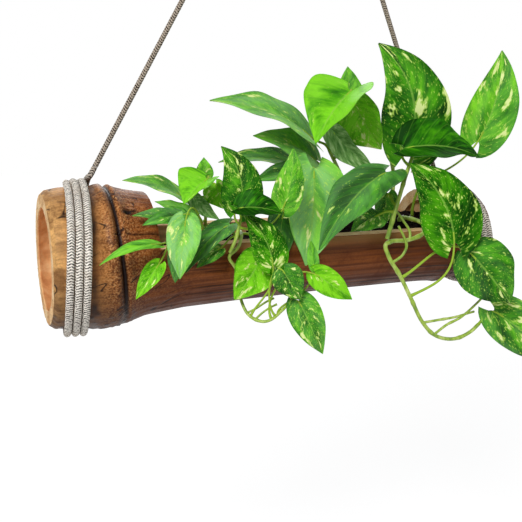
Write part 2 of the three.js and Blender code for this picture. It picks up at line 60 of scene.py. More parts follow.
# Culm: outside radius along its length. The two swellings are the nodes.
CULM_LENGTH = 380.0
OUTLINE = np.array([
    (0, 47.5), (3, 50.2), (12, 51.8), (25, 52.4), (35.5, 52.4), (39, 53.6), (41.5, 53.8), (43.5, 52.2),
    (46, 51.8), (48.5, 52.6), (53.5, 50.8), (60, 49), (67, 47.7), (75, 46.6), (100, 44), (150, 42.3),
    (200, 41.2), (250, 40.8), (300, 40.9), (325, 41.2), (335, 41.8), (339, 42.7), (342, 42.8), (345, 41.2),
    (348, 40.6), (356, 40.2), (374, 39.6), (380, 37.8),
])
WALL = 9.5
MOUTH_RADIUS = 38.0
LEFT_CUP_RADIUS = 43.5
RIGHT_CUP_RADIUS = 33.5
LEFT_SEPTUM = (45.0, 50.0)
RIGHT_SEPTUM = (335.0, 344.0)
LEFT_CUP = [
    (0, MOUTH_RADIUS), (1, MOUTH_RADIUS), (3, 39.6), (6, 41.8), (9, LEFT_CUP_RADIUS), (20, LEFT_CUP_RADIUS),
    (32, LEFT_CUP_RADIUS), (LEFT_SEPTUM[0], LEFT_CUP_RADIUS),
]
RIGHT_CUP = [
    (CULM_LENGTH, RIGHT_CUP_RADIUS), (366, RIGHT_CUP_RADIUS), (355, RIGHT_CUP_RADIUS),
    (RIGHT_SEPTUM[1], RIGHT_CUP_RADIUS),
]
HOLLOW_SPAN = (59.0, 325.0)
NODE_MIDDLE = 43.0
NODE_REACH = 27.0
NODE_LEAN = 8.0
NODE_GROOVE = 44.8
NODE_LIP = 48.0
RIGHT_GROOVE = 346.0
BUD_AT = 58.0
BUD_ANGLE = math.radians(315.5)
KERF_ANGLE = math.radians(295.5)
LOWER_SHARES = np.linspace(0.0, 1.0, 201)
UPPER_SHARES = np.concatenate([np.linspace(0.0, 0.24, 34, endpoint=False), np.linspace(0.24, 1.0, 71)])
SKIN, HOLLOW, WOOD = range(3)

# Planting cut-out: a sloping plane between two saw cuts across the culm, and the soil in it.
CUT_START = 75.0
CUT_END = 330.0
CUT_HEIGHT = 14.0
CUT_SLOPE = 0.1
CUT_TILT = math.atan(CUT_SLOPE)
RIM_WIDTH = 6.0
SOIL_START = 72.0
SOIL_DROP_LEFT = 20.0
SOIL_DROP_RIGHT = 1.0
SOIL_MOUND = 6.0
SOIL_SPAN = 80.0
SOIL_EDGE = 30.0
SOIL_CLEAR = 0.35
SOIL_GRID = (150, 46)
CRUMBS = dict(count=420, smallest=0.7, largest=2.0)
PERLITE = dict(count=110, smallest=0.6, largest=1.5)
CHIP_MARGIN = 5.0
CHIP_REACH = 28.0
GAP = 0.3

# Rope, hook and the point where the two legs meet. A rope's first stretch leads over to its own thickness.
LEG_DIAMETER = 4.0
COIL_DIAMETER = 5.2
COIL_PITCH = 5.75
LOOP_DIAMETER = 5.0
KNOT_DIAMETER = 4.8
WIRE_DIAMETER = 3.5
APEX = np.array([212.0, 0.0, 369.0])
LEG_CLEARANCE = 9.5
LEG_RUNS_ON = 1.2
COILS = {
    "left": dict(side=1, middle=22.8, turns=3, lean=(3.5, 7), foot=(39.5, 1, 66.5), grey=0.0),
    "right": dict(side=-1, middle=367.5, turns=2, lean=(6, 3), foot=(346.1, 1, 54), grey=0.4),
}
COIL_JOINS = 0.1
COIL_ENDS = 0.03
COIL_MOVES_OVER = 0.2
COIL_SEAT = 0.9
COIL_POINTS = 900
LEAD_BEND_TOP = 6.0
LEAD_BEND_LOW = 27.0
PLAIT_STRANDS = 4
PLAIT_LAY = 3.0
PLAIT_SIDES = 16
PLAIT_STEP = 0.75
YARN_COUNT = 3
YARN_LAY = 1.9
LEAD_RUN = 20.0
KNOT_HALF = 8.0
KNOT_SPREAD = 1.86
KNOT_DEPTH = 3.4
KNOT_RISE = 0.6
HOOK_TOP_RADIUS = 8.75
HOOK_LOW_RADIUS = 7.75
HOOK_SPACING = 26.0
HOOK_TOP_ARC = (-30.0, 184.4)
HOOK_LOW_ARC = (20.0, -185.1)
HOOK_STEP = 0.7
HOOK_SIDES = 18
HOOK_TOP_CENTRE = HANG[2] - HOOK_TOP_RADIUS + WIRE_DIAMETER / 2
HOOK_LOW_CENTRE = HOOK_TOP_CENTRE - HOOK_SPACING
PIVOT_HEIGHT = HOOK_LOW_CENTRE - HOOK_LOW_RADIUS

# Plants.
LIGHT_SIDE = np.array([-0.4, -0.9, 0.17])
SIZES = {"large": dict(stem=1.9, petiole=1.2, blade=0.7), "small": dict(stem=1.4, petiole=0.9, blade=0.55)}
STEM_STEP = 0.8
PETIOLE_STEP = 1.2
STEM_JOINTS = 31.0
SHOOT_JOINTS = 40.0
LEAF_ROWS = 34
LEAF_COLUMNS = 21
RIB_PHASE = 52.0
RIB_SWEEP = 0.3


def metres(points):
    return (np.asarray(points, dtype=float) - HANG) * 0.001


def srgb(red, green, blue):
    shares = np.array([red, green, blue]) / 255.0
    linear = np.where(shares <= 0.04045, shares / 12.92, ((shares + 0.055) / 1.055) ** 2.4)
    return (*linear.tolist(), 1.0)


def unit(vector):
    return vector / np.linalg.norm(vector)


# Shader values. Sums, differences and products of values add the nodes that work them out.
class Value:
    def __init__(self, tree, socket):
        self.tree = tree
        self.socket = socket

    def __add__(self, other):
        return math_value(self.tree, "ADD", self, other)

    def __sub__(self, other):
        return math_value(self.tree, "SUBTRACT", self, other)

    def __rsub__(self, other):
        return math_value(self.tree, "SUBTRACT", other, self)

    def __mul__(self, other):
        return math_value(self.tree, "MULTIPLY", self, other)

    def __abs__(self):
        return math_value(self.tree, "ABSOLUTE", self)

    def larger(self, other):
        return math_value(self.tree, "MAXIMUM", self, other)

    def sine(self):
        return math_value(self.tree, "SINE", self)

    def spread(self, low, high, to_low=0.0, to_high=1.0, way="SMOOTHSTEP"):
        inputs = {"Value": self, "From Min": low, "From Max": high, "To Min": to_low, "To Max": to_high}
        return new_value(self.tree, "ShaderNodeMapRange", inputs, interpolation_type=way)

    def spread_linear(self, low, high, to_low, to_high):
        return self.spread(low, high, to_low, to_high, "LINEAR")

    # A noise as a roughness between two values.
    def rough(self, low, high):
        return self.spread_linear(0.3, 0.7, low, high)

    def ramp(self, *stops):
        node = add_node(self.tree, "ShaderNodeValToRGB", {"Fac": self})
        elements = node.color_ramp.elements
        while len(elements) < len(stops):
            elements.new(0.5)
        for element, (place, colour) in zip(elements, stops):
            element.position = place
            element.color = colour
        return Value(self.tree, node.outputs["Color"])

    def mixed(self, share, colour, blend="MIX"):
        inputs = {0: share, 6: self, 7: colour}
        return new_value(self.tree, "ShaderNodeMix", inputs, 2, data_type="RGBA", blend_type=blend)


def add_node(tree, kind, inputs=None, **settings):
    node = tree.nodes.new(kind)
    for key, value in settings.items():
        setattr(node, key, value)
    for key, value in (inputs or {}).items():
        if isinstance(value, Value):
            tree.links.new(value.socket, node.inputs[key])
        else:
            node.inputs[key].default_value = value
    return node


def new_value(tree, kind, inputs=None, output=0, **settings):
    return Value(tree, add_node(tree, kind, inputs, **settings).outputs[output])


def math_value(tree, operation, first, second=0.0):
    return new_value(tree, "ShaderNodeMath", {0: first, 1: second}, operation=operation)


# A material with its node tree.
class Paint:
    def __init__(self, name):
        self.material = bpy.data.materials.new(name)
        self.material.use_nodes = True
        self.tree = self.material.node_tree
        self.shader = self.tree.nodes["Principled BSDF"]

    def place(self, kind="Object"):
        return new_value(self.tree, "ShaderNodeTexCoord", output=kind)

    def axis(self, kind, name):
        return new_value(self.tree, "ShaderNodeSeparateXYZ", {"Vector": self.place(kind)}, name)

    def layer(self, name):
        return new_value(self.tree, "ShaderNodeAttribute", output="Fac", attribute_name=name)

    def noise(self, vector, detail, roughness):
        inputs = {"Vector": vector, "Scale": 1.0, "Detail": detail, "Roughness": roughness}
        return new_value(self.tree, "ShaderNodeTexNoise", inputs, "Fac")

    # Noise with so many grains to the metre along each axis, over the object's place or another vector.
    def grains(self, scale, detail, roughness, vector=None):
        inputs = {"Vector": vector or self.place(), "Scale": scale}
        return self.noise(new_value(self.tree, "ShaderNodeMapping", inputs), detail, roughness)

    def finish(self, colour, roughness, height, depth, strength=0.6, specular=0.5, metallic=0.0):
        relief = {"Height": height, "Strength": strength, "Distance": depth}
        bump = new_value(self.tree, "ShaderNodeBump", relief)
        for key, value in (("Base Color", colour), ("Roughness", roughness), ("Normal", bump)):
            self.tree.links.new(value.socket, self.shader.inputs[key])
        self.shader.inputs["Specular IOR Level"].default_value = specular
        self.shader.inputs["Metallic"].default_value = metallic
        return self.material


# Camera, floor and light.
def make_camera():
    yaw = math.radians(CAMERA_YAW)
    pitch = math.radians(CAMERA_PITCH)
    forward = Vector((math.sin(yaw) * math.cos(pitch), math.cos(yaw) * math.cos(pitch), -math.sin(pitch)))
    right = Vector((math.cos(yaw), -math.sin(yaw), 0.0))
    up = right.cross(forward)
    data = bpy.data.cameras.new("camera")
    data.sensor_width = SENSOR_WIDTH
    data.lens = SENSOR_WIDTH * FOCAL_PIXELS / IMAGE_PIXELS
    data.clip_start = 0.01
    camera = bpy.data.objects.new("camera", data)
    axes = Matrix((right, up, -forward)).transposed().to_4x4()
    axes.translation = Vector(metres(CAMERA_AT))
    camera.matrix_world = axes
    bpy.context.collection.objects.link(camera)
    bpy.context.scene.camera = camera


def bare_tree(owner):
    owner.use_nodes = True
    owner.node_tree.nodes.clear()
    return owner.node_tree


def seen_directly(tree):
    camera, glossy, through = [
        new_value(tree, "ShaderNodeLightPath", output=f"Is {kind} Ray")
        for kind in ("Camera", "Glossy", "Transmission")]
    return camera.larger(glossy).larger(through)


def make_world():
    world = bpy.data.worlds.new("studio")
    tree = bare_tree(world)
    soft = new_value(tree, "ShaderNodeBackground", {"Color": (0.95, 0.97, 1.0, 1.0), "Strength": 0.25})
    white = new_value(tree, "ShaderNodeBackground", {"Color": (1.0, 1.0, 1.0, 1.0), "Strength": 1.0})
    mix = new_value(tree, "ShaderNodeMixShader", {0: seen_directly(tree), 1: soft, 2: white})
    add_node(tree, "ShaderNodeOutputWorld", {"Surface": mix})
    bpy.context.scene.world = world


# The lamps don't reach the far floor, so its own white grows there. Near the object its shadow shows.
def floor_white():
    material = bpy.data.materials.new("pale_floor")
    tree = bare_tree(material)
    lit = new_value(tree, "ShaderNodeBsdfDiffuse", {"Color": (0.86, 0.86, 0.86, 1.0)})
    place = new_value(tree, "ShaderNodeTexCoord", output="Object")
    distance = new_value(tree, "ShaderNodeVectorMath", {0: place}, "Value", operation="LENGTH")
    strength = distance.spread(FLOOR_NEAR[0], FLOOR_FAR[0], FLOOR_NEAR[1], FLOOR_FAR[1])
    glow = new_value(tree, "ShaderNodeEmission", {"Color": (1.0, 1.0, 1.0, 1.0), "Strength": strength})
    share = seen_directly(tree) * FLOOR_GLOW_SHARE
    mix = new_value(tree, "ShaderNodeMixShader", {0: share, 1: lit, 2: glow})
    add_node(tree, "ShaderNodeOutputMaterial", {"Surface": mix})
    return material


def make_stage():
    bpy.context.scene.view_settings.view_transform = "Standard"
    make_world()
    bpy.ops.mesh.primitive_circle_add(vertices=64, radius=FLOOR_RADIUS / 1000, fill_type="NGON",
                                      location=(0, 0, -FLOOR_DROP / 1000))
    floor = bpy.context.object
    floor.name = "floor"
    floor.data.materials.append(floor_white())

    target = Vector(metres(LAMPS_AIM_AT))
    for name, place, size, power in (
        ("key", (-1.1, -1.15, 0.75), 0.8, 29.0),
        ("fill", (1.3, -1.2, 0.0), 1.4, 4.0),
        ("back", (0.3, 1.5, 0.6), 1.2, 9.0),
    ):
        data = bpy.data.lights.new(name, "AREA")
        data.shape = "DISK"
        data.size = size
        data.energy = power
        lamp = bpy.data.objects.new(name, data)
        lamp.location = place
        lamp.rotation_euler = (target - lamp.location).to_track_quat("-Z", "Y").to_euler()
        bpy.context.collection.objects.link(lamp)


# Materials.
def bamboo_skin():
    paint = Paint("bamboo_skin")
    lengthwise = paint.axis("Object", "X").spread_linear(
        metres((0, 0, 0))[0], metres((CULM_LENGTH, 0, 0))[0], 0.0, 1.0)
    thick_end = lengthwise.spread(0.2, 0.3, 1.0, 0.0)
    fibrous = thick_end.spread_linear(0.0, 1.0, 0.85, 0.5)
    fibres = paint.grains((9, 420, 420), 5.0, 0.6)
    streaks = paint.grains((4, 90, 90), 4.0, 0.6)
    blotches = paint.grains((60, 45, 45), 6.0, 0.65)
    specks = paint.grains((700, 800, 800), 3.0, 0.6)
    tone = lengthwise.ramp(
        (0.0, srgb(210, 164, 104)), (0.06, srgb(188, 134, 76)), (0.11, srgb(164, 104, 54)),
        (0.15, srgb(148, 86, 40)), (0.24, srgb(142, 80, 38)), (0.5, srgb(142, 80, 34)),
        (1.0, srgb(116, 60, 24)))
    tone = tone.mixed(fibrous, fibres.ramp(
        (0.3, (0.24, 0.17, 0.1, 1)), (0.5, (0.92, 0.88, 0.84, 1)), (0.7, (1.4, 1.4, 1.35, 1))), "MULTIPLY")
    tone = tone.mixed(fibrous, streaks.ramp(
        (0.34, (0.36, 0.24, 0.16, 1)), (0.5, (1, 0.96, 0.93, 1)), (0.68, (1.3, 1.25, 1.15, 1))), "MULTIPLY")
    tone = tone.mixed(blotches.spread(0.5, 0.64, 0.0, 0.6), srgb(88, 40, 14))

    # Dark specks, and pale specks that are a painted highlight (painted glints), both strongest on the worn
    # band between the coil and the node.
    worn = lengthwise.spread(0.07, 0.11) * lengthwise.spread(0.12, 0.2, 1.0, 0.2) * thick_end
    speck = specks.spread(0.5, 0.62) * worn.spread_linear(0.0, 1.0, 0.22, 0.8)
    tone = tone.mixed(speck, srgb(58, 26, 10))
    tone = tone.mixed(specks.spread(0.48, 0.38, 0.0, 0.5) * worn, srgb(222, 176, 116))

    # The edge of the cut-out is paler, and the underside is darkened with painted shade.
    tone = tone.mixed(paint.layer("rim") * 0.75, srgb(176, 130, 80))
    low = paint.axis("Object", "Z").spread(metres((0, 0, -52))[2], metres((0, 0, 3))[2], 0.8, 0.0)
    tone = tone.mixed(low, srgb(48, 19, 8))

    # Thin cracks in the dry skin of the thick end, and dark grain lines along the rest.
    turned = {"Vector": paint.place(), "Rotation": (0.0, 0.6, 0.0)}
    turned = new_value(paint.tree, "ShaderNodeMapping", turned)
    folds = abs(paint.grains((16, 45, 80), 1.5, 0.5, turned) - 0.5)
    broken = paint.grains((75, 75, 75), 2.0, 0.5).spread(0.42, 0.52)
    crack = folds.spread(0.0, 0.016, 0.95, 0.0) * broken * thick_end
    lines = paint.grains((3, 260, 260), 2.0, 0.5).spread(0.62, 0.68, 0.0, 0.75) * (1.0 - thick_end)
    # The marks hold the skin's dark marks, and also the painted shadow beside the left coil and the painted
    # shade of the bud scar.
    mark = paint.layer("mark")
    tone = tone.mixed(crack.larger(lines).larger(mark), srgb(22, 6, 2))

    rough = blotches.rough(0.38, 0.62) - mark * 0.2
    height = fibres + specks * 0.4 - crack * 0.8
    return paint.finish(tone, rough, height, 0.0006, specular=0.14)


def cut_wood():
    paint = Paint("cut_bamboo")
    bundles = paint.grains((300, 700, 700), 3.0, 0.7)
    patches = paint.grains((70, 70, 70), 5.0, 0.6)
    tone = patches.ramp((0.3, srgb(200, 150, 98)), (0.5, srgb(232, 190, 136)), (0.7, srgb(248, 222, 178)))
    tone = tone.mixed(bundles.spread(0.55, 0.68, 0.0, 0.7), srgb(132, 84, 44))
    return paint.finish(tone, patches.rough(0.75, 0.95), bundles, 0.0008)


def hollow_wall():
    paint = Paint("bamboo_hollow")
    streaks = paint.grains((12, 160, 160), 5.0, 0.6)
    patches = paint.grains((40, 40, 40), 4.0, 0.6)
    # The wall's own tan is painted paler, as painted light in the shaded hollow.
    tone = streaks.ramp((0.28, srgb(206, 142, 90)), (0.5, srgb(236, 182, 124)), (0.75, srgb(250, 214, 160)))
    tone = tone.mixed(patches.spread(0.5, 0.7, 0.0, 0.5), srgb(206, 140, 88))
    return paint.finish(tone, streaks.rough(0.6, 0.85), streaks, 0.0006)


# The rope's uv is its run in millimetres and its turn from 0 to 1.
def rope_yarn():
    paint = Paint("braided_rope")
    along = paint.axis("UV", "X") * (2.0 * math.pi / YARN_LAY)
    around = math_value(paint.tree, "PINGPONG", paint.axis("UV", "Y") * (2.0 * YARN_COUNT), 1.0)
    fuzz = paint.grains((900, 900, 900), 3.0, 0.7)
    dirt = paint.grains((60, 60, 60), 4.0, 0.6)
    ragged = paint.grains((800, 800, 800), 1.0, 0.5)
    # The yarn is painted darker in the crevices between the strands, as painted shade.
    tone = (paint.layer("crevice_shading") + (fuzz - 0.5) * 0.5).ramp(
        (0.0, srgb(34, 24, 18)), (0.25, srgb(116, 101, 87)), (0.5, srgb(224, 212, 196)),
        (0.75, srgb(255, 248, 236)))
    chevron = (along + around * 4.0).sine() + fuzz * 3.0
    tone = tone.mixed(chevron.spread(1.0, 1.9) * ragged.spread(0.34, 0.56, 0.4, 1.0), srgb(36, 26, 20))
    tone = tone.mixed(dirt.spread(0.52, 0.72, 0.0, 0.35), srgb(170, 152, 130))
    tone = tone.mixed(paint.layer("grey") * 0.75, srgb(150, 134, 116), "MULTIPLY")
    return paint.finish(tone, fuzz.rough(0.85, 1.0), fuzz, 0.0005, specular=0.1)


def hook_steel():
    paint = Paint("hook_steel")
    lines = paint.grains((500, 120, 120), 3.0, 0.6)
    tone = lines.ramp((0.3, srgb(150, 152, 155)), (0.7, srgb(196, 198, 200)))
    return paint.finish(tone, lines.rough(0.24, 0.42), lines, 0.0002, 0.3, metallic=1.0)


def soil_crumb():
    paint = Paint("potting_mix")
    crumbs = paint.grains((420, 420, 420), 6.0, 0.7)
    tone = crumbs.ramp(
        (0.3, srgb(8, 3, 2)), (0.52, srgb(20, 10, 7)), (0.68, srgb(42, 26, 17)), (0.8, srgb(74, 52, 35)))
    return paint.finish(tone, crumbs.rough(0.85, 1.0), crumbs, 0.002, specular=0.05)


def perlite_chip():
    paint = Paint("perlite")
    pores = paint.grains((1800, 1800, 1800), 3.0, 0.6)
    tone = pores.ramp((0.3, srgb(186, 180, 168)), (0.6, srgb(238, 235, 226)))
    return paint.finish(tone, pores.rough(0.8, 1.0), pores, 0.0006)


def green_stem():
    paint = Paint("vine_stem")
    streaks = paint.grains((160, 160, 60), 4.0, 0.6)
    tone = streaks.ramp((0.3, srgb(104, 142, 34)), (0.5, srgb(158, 188, 66)), (0.72, srgb(206, 220, 132)))
    return paint.finish(tone, streaks.rough(0.38, 0.55), streaks, 0.0004)


# A leaf's uv runs from its base to its tip and from one edge to the other.
def leaf_blade():
    paint = Paint("pothos_leaf")
    crosswise = paint.axis("UV", "Y")
    outward = abs(crosswise - 0.5) * 2.0
    vein_line = paint.axis("UV", "X") - outward * RIB_SWEEP
    far_half = math_value(paint.tree, "GREATER_THAN", crosswise, 0.5)
    leaf_and_half = paint.layer("seed") + far_half * 3.7

    # A pattern that runs out from the midrib towards the tip, different on each half and each leaf.
    def veined(across_scale, outward_scale, detail, roughness):
        where = {"X": vein_line * across_scale, "Y": outward * outward_scale, "Z": leaf_and_half}
        return paint.noise(new_value(paint.tree, "ShaderNodeCombineXYZ", where), detail, roughness)

    tone_noise = veined(13.0, 2.4, 3.0, 0.6)
    cloud = veined(3.2, 1.1, 2.0, 0.5)
    blotches = veined(5.0, 2.2, 3.0, 0.55)
    sheen = veined(2.0, 1.6, 2.0, 0.5)
    flecks = veined(44.0, 15.0, 2.0, 0.5)

    # The green, with a painted sheen in grey-blue that stands for the sky's reflection, its ribs and midrib.
    # The far half of each blade is painted a little lighter, as painted light falling on one side.
    shade = paint.layer("tone") + tone_noise * 1.1 + cloud * 1.5 + far_half * 0.12 - 1.36
    colour = shade.ramp(
        (0.0, srgb(12, 58, 2)), (0.3, srgb(36, 106, 6)), (0.6, srgb(76, 160, 14)), (1.0, srgb(134, 220, 36)))
    # The grey layer sets how much of this painted sheen each leaf has.
    gloss = sheen.spread(0.36, 0.62, 0.3, 0.9) * paint.layer("grey")
    colour = colour.mixed(gloss, srgb(146, 204, 132))
    ribs = (vein_line * RIB_PHASE).sine().spread(0.86, 1.0, 0.0, 0.16)
    colour = colour.mixed(ribs, srgb(112, 178, 56))
    colour = colour.mixed(outward.spread(0.015, 0.05, 0.45, 0.0), srgb(150, 200, 84))

    # Cream patches with lime edges, and lime flecks.
    cream = paint.layer("cream")
    patch = blotches + flecks * 0.16 + tone_noise * 0.16 - (0.9 - cream * 0.2)
    spot = flecks - (0.74 - cream * 0.16)
    lime = patch.spread(0.0, 0.05, 0.0, 0.7).larger(spot.spread(0.0, 0.05, 0.0, 0.65))
    colour = colour.mixed(lime, srgb(186, 226, 92))
    colour = colour.mixed(patch.spread(0.04, 0.09, 0.0, 0.9), srgb(232, 244, 164))

    # The paler underside, and the stalk.
    under = paint.layer("under")
    pale = tone_noise.ramp(
        (0.35, srgb(80, 130, 58)), (0.52, srgb(130, 174, 98)), (0.68, srgb(188, 216, 154)))
    colour = colour.mixed(under * 0.8, pale)
    colour = colour.mixed(paint.layer("stalk"), srgb(156, 190, 62))
    rough = under.spread_linear(0.0, 1.0, 0.42, 0.6)
    return paint.finish(colour, rough, tone_noise * 0.6 - ribs, 0.0008, 0.5, specular=0.05)


# Meshes.
def grid_faces(rows, columns, start=0, flip=False, wrap=False):
    faces = []
    for i in range(rows - 1):
        for k in range(columns if wrap else columns - 1):
            a = start + i * columns + k
            b = start + i * columns + (k + 1) % columns
            face = (a, b, b + columns, a + columns)
            faces.append(face[::-1] if flip else face)
    return faces


def moved_on(faces, count):
    return [tuple(corner + count for corner in face) for face in faces]


# Two grids of points of the same shape, a top and a bottom, closed round their border.
def closed_sheet(top, bottom):
    rows, columns = top.shape[:2]
    count = rows * columns
    faces = grid_faces(rows, columns, 0, True) + grid_faces(rows, columns, count)
    border = [i * columns for i in range(rows)]
    border += [(rows - 1) * columns + k for k in range(1, columns)]
    border += [i * columns + columns - 1 for i in range(rows - 2, -1, -1)]
    border += list(range(columns - 2, 0, -1))
    for a, b in zip(border, border[1:] + border[:1]):
        faces.append((a, b, b + count, a + count))
    return np.concatenate([top.reshape(-1, 3), bottom.reshape(-1, 3)]), faces


# A piece rides on a body and may stand for a node. Its points carry uv and layers.
def make_piece(name, points, faces, materials, slot, node=None, body="planter", uv=None, layers=None,
               face_materials=None):
    mesh = bpy.data.meshes.new(name)
    mesh.from_pydata(metres(points).tolist(), [], faces)
    if uv is not None:
        corners = np.empty(len(mesh.loops), dtype=np.int32)
        mesh.loops.foreach_get("vertex_index", corners)
        flat = np.asarray(uv, dtype=np.float32)[corners].ravel()
        mesh.uv_layers.new(name="UVMap").data.foreach_set("uv", flat)
    for key, values in (layers or {}).items():
        layer = mesh.attributes.new(key, "FLOAT", "POINT")
        layer.data.foreach_set("value", np.asarray(values, dtype=np.float32))
    for material in materials:
        mesh.materials.append(material)
    if face_materials is not None:
        mesh.polygons.foreach_set("material_index", np.asarray(face_materials, dtype=np.int32))
    mesh.shade_smooth()
    piece = bpy.data.objects.new(name, mesh)
    bpy.context.collection.objects.link(piece)
    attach(piece, body)
    if node:
        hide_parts(node)
    return piece


# Joins points that lie on each other, and keeps edges sharp from an angle in degrees.
def tidy_solid(piece, sharp_angle):
    work = bmesh.new()
    work.from_mesh(piece.data)
    bmesh.ops.remove_doubles(work, verts=work.verts, dist=2e-6)
    work.to_mesh(piece.data)
    work.free()
    piece.data.set_sharp_from_angle(angle=math.radians(sharp_angle))


def bump_at(value, middle, width):
    return np.exp(-(((value - middle) / width) ** 2))


# Two directions across a path at each of its points, carried along without twist.
def carried_frames(path):
    along = np.gradient(path, axis=0)
    along /= np.linalg.norm(along, axis=1, keepdims=True)
    side = np.empty_like(path)
    held = np.array([0.0, 1.0, 0.0]) if abs(along[0][1]) < 0.8 else np.array([1.0, 0.0, 0.0])
    for i, forward in enumerate(along):
        held = unit(held - forward * held.dot(forward))
        side[i] = held
    return side, np.cross(along, side)


# A closed tube: radii has a row for each point of the path and a column for each side. With a seam, the last
# column lies on the first.
def sweep(path, radii, seam=False):
    count, sides = radii.shape
    side, across = carried_frames(path)
    angle = np.linspace(0.0, 2.0 * np.pi, sides, endpoint=seam)[None, :, None]
    spokes = side[:, None] * np.cos(angle) + across[:, None] * np.sin(angle)
    rings = path[:, None] + radii[:, :, None] * spokes
    faces = grid_faces(count, sides, wrap=not seam)
    faces.append(tuple(range(sides - 1, -1, -1)))
    faces.append(tuple(range((count - 1) * sides, count * sides)))
    return rings.reshape(-1, 3), faces


# Points at even steps along a path, and how far along it each one is.
def resample(path, step):
    run = np.concatenate([[0.0], np.cumsum(np.linalg.norm(np.diff(path, axis=0), axis=1))])
    places = np.linspace(0.0, run[-1], max(3, int(round(run[-1] / step)) + 1))
    return np.stack([np.interp(places, run, path[:, axis]) for axis in range(3)], axis=1), places


def bezier(start, first, second, end, count=40):
    t = np.linspace(0.0, 1.0, count)[:, None]
    return (1 - t) ** 3 * start + 3 * (1 - t) ** 2 * t * first + 3 * (1 - t) * t * t * second + t ** 3 * end


# A centripetal Catmull-Rom curve through points.
def smooth_curve(points, count=400):
    points = np.asarray(points, dtype=float)
    ends = [2 * points[0] - points[1], *points, 2 * points[-1] - points[-2]]
    curve = []
    per_span = max(2, count // (len(points) - 1))
    for a, b, c, d in zip(ends, ends[1:], ends[2:], ends[3:]):
        gaps = [max(np.sqrt(np.linalg.norm(q - p)), 1e-4) for p, q in ((a, b), (b, c), (c, d))]
        first = ((b - a) / gaps[0] - (c - a) / (gaps[0] + gaps[1]) + (c - b) / gaps[1]) * gaps[1]
        second = ((c - b) / gaps[1] - (d - b) / (gaps[1] + gaps[2]) + (d - c) / gaps[2]) * gaps[1]
        t = np.linspace(0.0, 1.0, per_span, endpoint=False)[:, None]
        curve.append(b + first * t + (3 * (c - b) - 2 * first - second) * t ** 2
                     + (2 * (b - c) + first + second) * t ** 3)
    return np.concatenate([*curve, [points[-1]]])


# Rope: a plaited surface whose strands pass over and under each other.
def plaited(path, first_diameter, diameter):
    path, run = resample(path, PLAIT_STEP)
    diameter = np.interp(run, [0.0, LEAD_RUN], [first_diameter, diameter])[:, None]
    angle = np.linspace(0.0, 1.0, PLAIT_SIDES + 1)[None, :]
    first = PLAIT_STRANDS * angle + run[:, None] / PLAIT_LAY
    second = PLAIT_STRANDS * angle - run[:, None] / PLAIT_LAY
    over = (np.floor(first) + np.floor(second)) % 2 == 0
    crown = np.where(over, np.sin(np.pi * (first % 1.0)), np.sin(np.pi * (second % 1.0)))
    radii = 0.5 * diameter * (0.9 + 0.13 * crown)
    points, faces = sweep(path, radii, seam=True)
    uv = np.stack(np.broadcast_arrays(run[:, None], angle), axis=2)
    # The strands are painted darker towards their edges, as painted shade in the crevices between them.
    return points, faces, (0.6 + 0.4 * crown).ravel(), uv.reshape(-1, 2), path


# Diameters and shares of grey are those at a rope's start and those after its lead.
def make_rope(name, path, diameters, greys, yarn, body="planter"):
    points, faces, crevice_shading, uv, path = plaited(path, *diameters)
    grey = np.interp(uv[:, 0], [0.0, LEAD_RUN], greys)
    layers = {"crevice_shading": crevice_shading, "grey": grey}
    rope = make_piece(f"{name}_plait", points, faces, [yarn], "rope", name, body, uv, layers)
    tidy_solid(rope, 180.0)
    return rope, path


def culm_radius(x):
    return np.interp(x, OUTLINE[:, 0], OUTLINE[:, 1])


# Points round the culm's axis. Angles run from the top towards the back.
def about_axis(x, angle, radius):
    x = np.broadcast_to(x, angle.shape)
    return np.stack([x, radius * np.sin(angle), radius * np.cos(angle)], axis=-1)


def coil_lean(coil, angle):
    return coil["lean"][0] * np.cos(angle) + coil["lean"][1] * np.sin(angle)


# A point of a coil after so many turns from its top. Each turn moves over by the pitch near the top.
def coil_point(coil, turn):
    angle = 2.0 * np.pi * turn
    whole = np.round(turn)
    share = np.clip((turn - whole) / COIL_MOVES_OVER * 0.5 + 0.5, 0.0, 1.0)
    passed = whole + share * share * (3.0 - 2.0 * share)
    step = COIL_PITCH * (passed - (coil["turns"] + 1) / 2)
    x = coil["middle"] + coil["side"] * (coil_lean(coil, angle) - step)
    return about_axis(x, angle, culm_radius(x) + COIL_SEAT + COIL_DIAMETER / 2)


def coil_path(coil):
    foot = np.array(coil["foot"], dtype=float)
    down = unit(foot - APEX)
    start, ahead = coil_point(coil, np.array([COIL_JOINS, COIL_JOINS + 0.01]))
    heading = unit(ahead - start)
    lead = foot + down * COIL_DIAMETER
    bend = bezier(lead, lead + down * LEAD_BEND_TOP, start - heading * LEAD_BEND_LOW, start)
    turns = coil_point(coil, np.linspace(COIL_JOINS, coil["turns"] - COIL_ENDS, COIL_POINTS))
    tail = turns[-1] + unit(turns[-1] - turns[-2]) * COIL_DIAMETER
    return np.concatenate([[foot], bend[:-1], turns, [tail]])


def make_ropes(yarn):
    for end, coil in COILS.items():
        foot = np.array(coil["foot"], dtype=float)
        down = unit(foot - APEX)
        top = APEX + down * (LEG_CLEARANCE - LEG_RUNS_ON)
        straight = np.linspace(foot - down * GAP, top, 30)
        leg, path = make_rope(f"rope_leg_{end}", straight, (LEG_DIAMETER, LEG_DIAMETER), (1, 1), yarn)
        greys = (1, coil["grey"])
        make_rope(f"rope_coil_{end}", coil_path(coil), (LEG_DIAMETER, COIL_DIAMETER), greys, yarn)


# Top fittings. The knot is a trefoil.
def make_knot(yarn):
    turn = np.linspace(0.0, 2.0 * np.pi, 300)
    tangle = np.stack([
        KNOT_SPREAD * (np.sin(turn) + 2 * np.sin(2 * turn)),
        KNOT_DEPTH * np.sin(3 * turn),
        KNOT_SPREAD * (np.cos(turn) - 2 * np.cos(2 * turn)) + KNOT_RISE,
    ], axis=1)
    make_rope("rope_knot", APEX + tangle, (KNOT_DIAMETER, KNOT_DIAMETER), (0.5, 0.5), yarn, "knot")


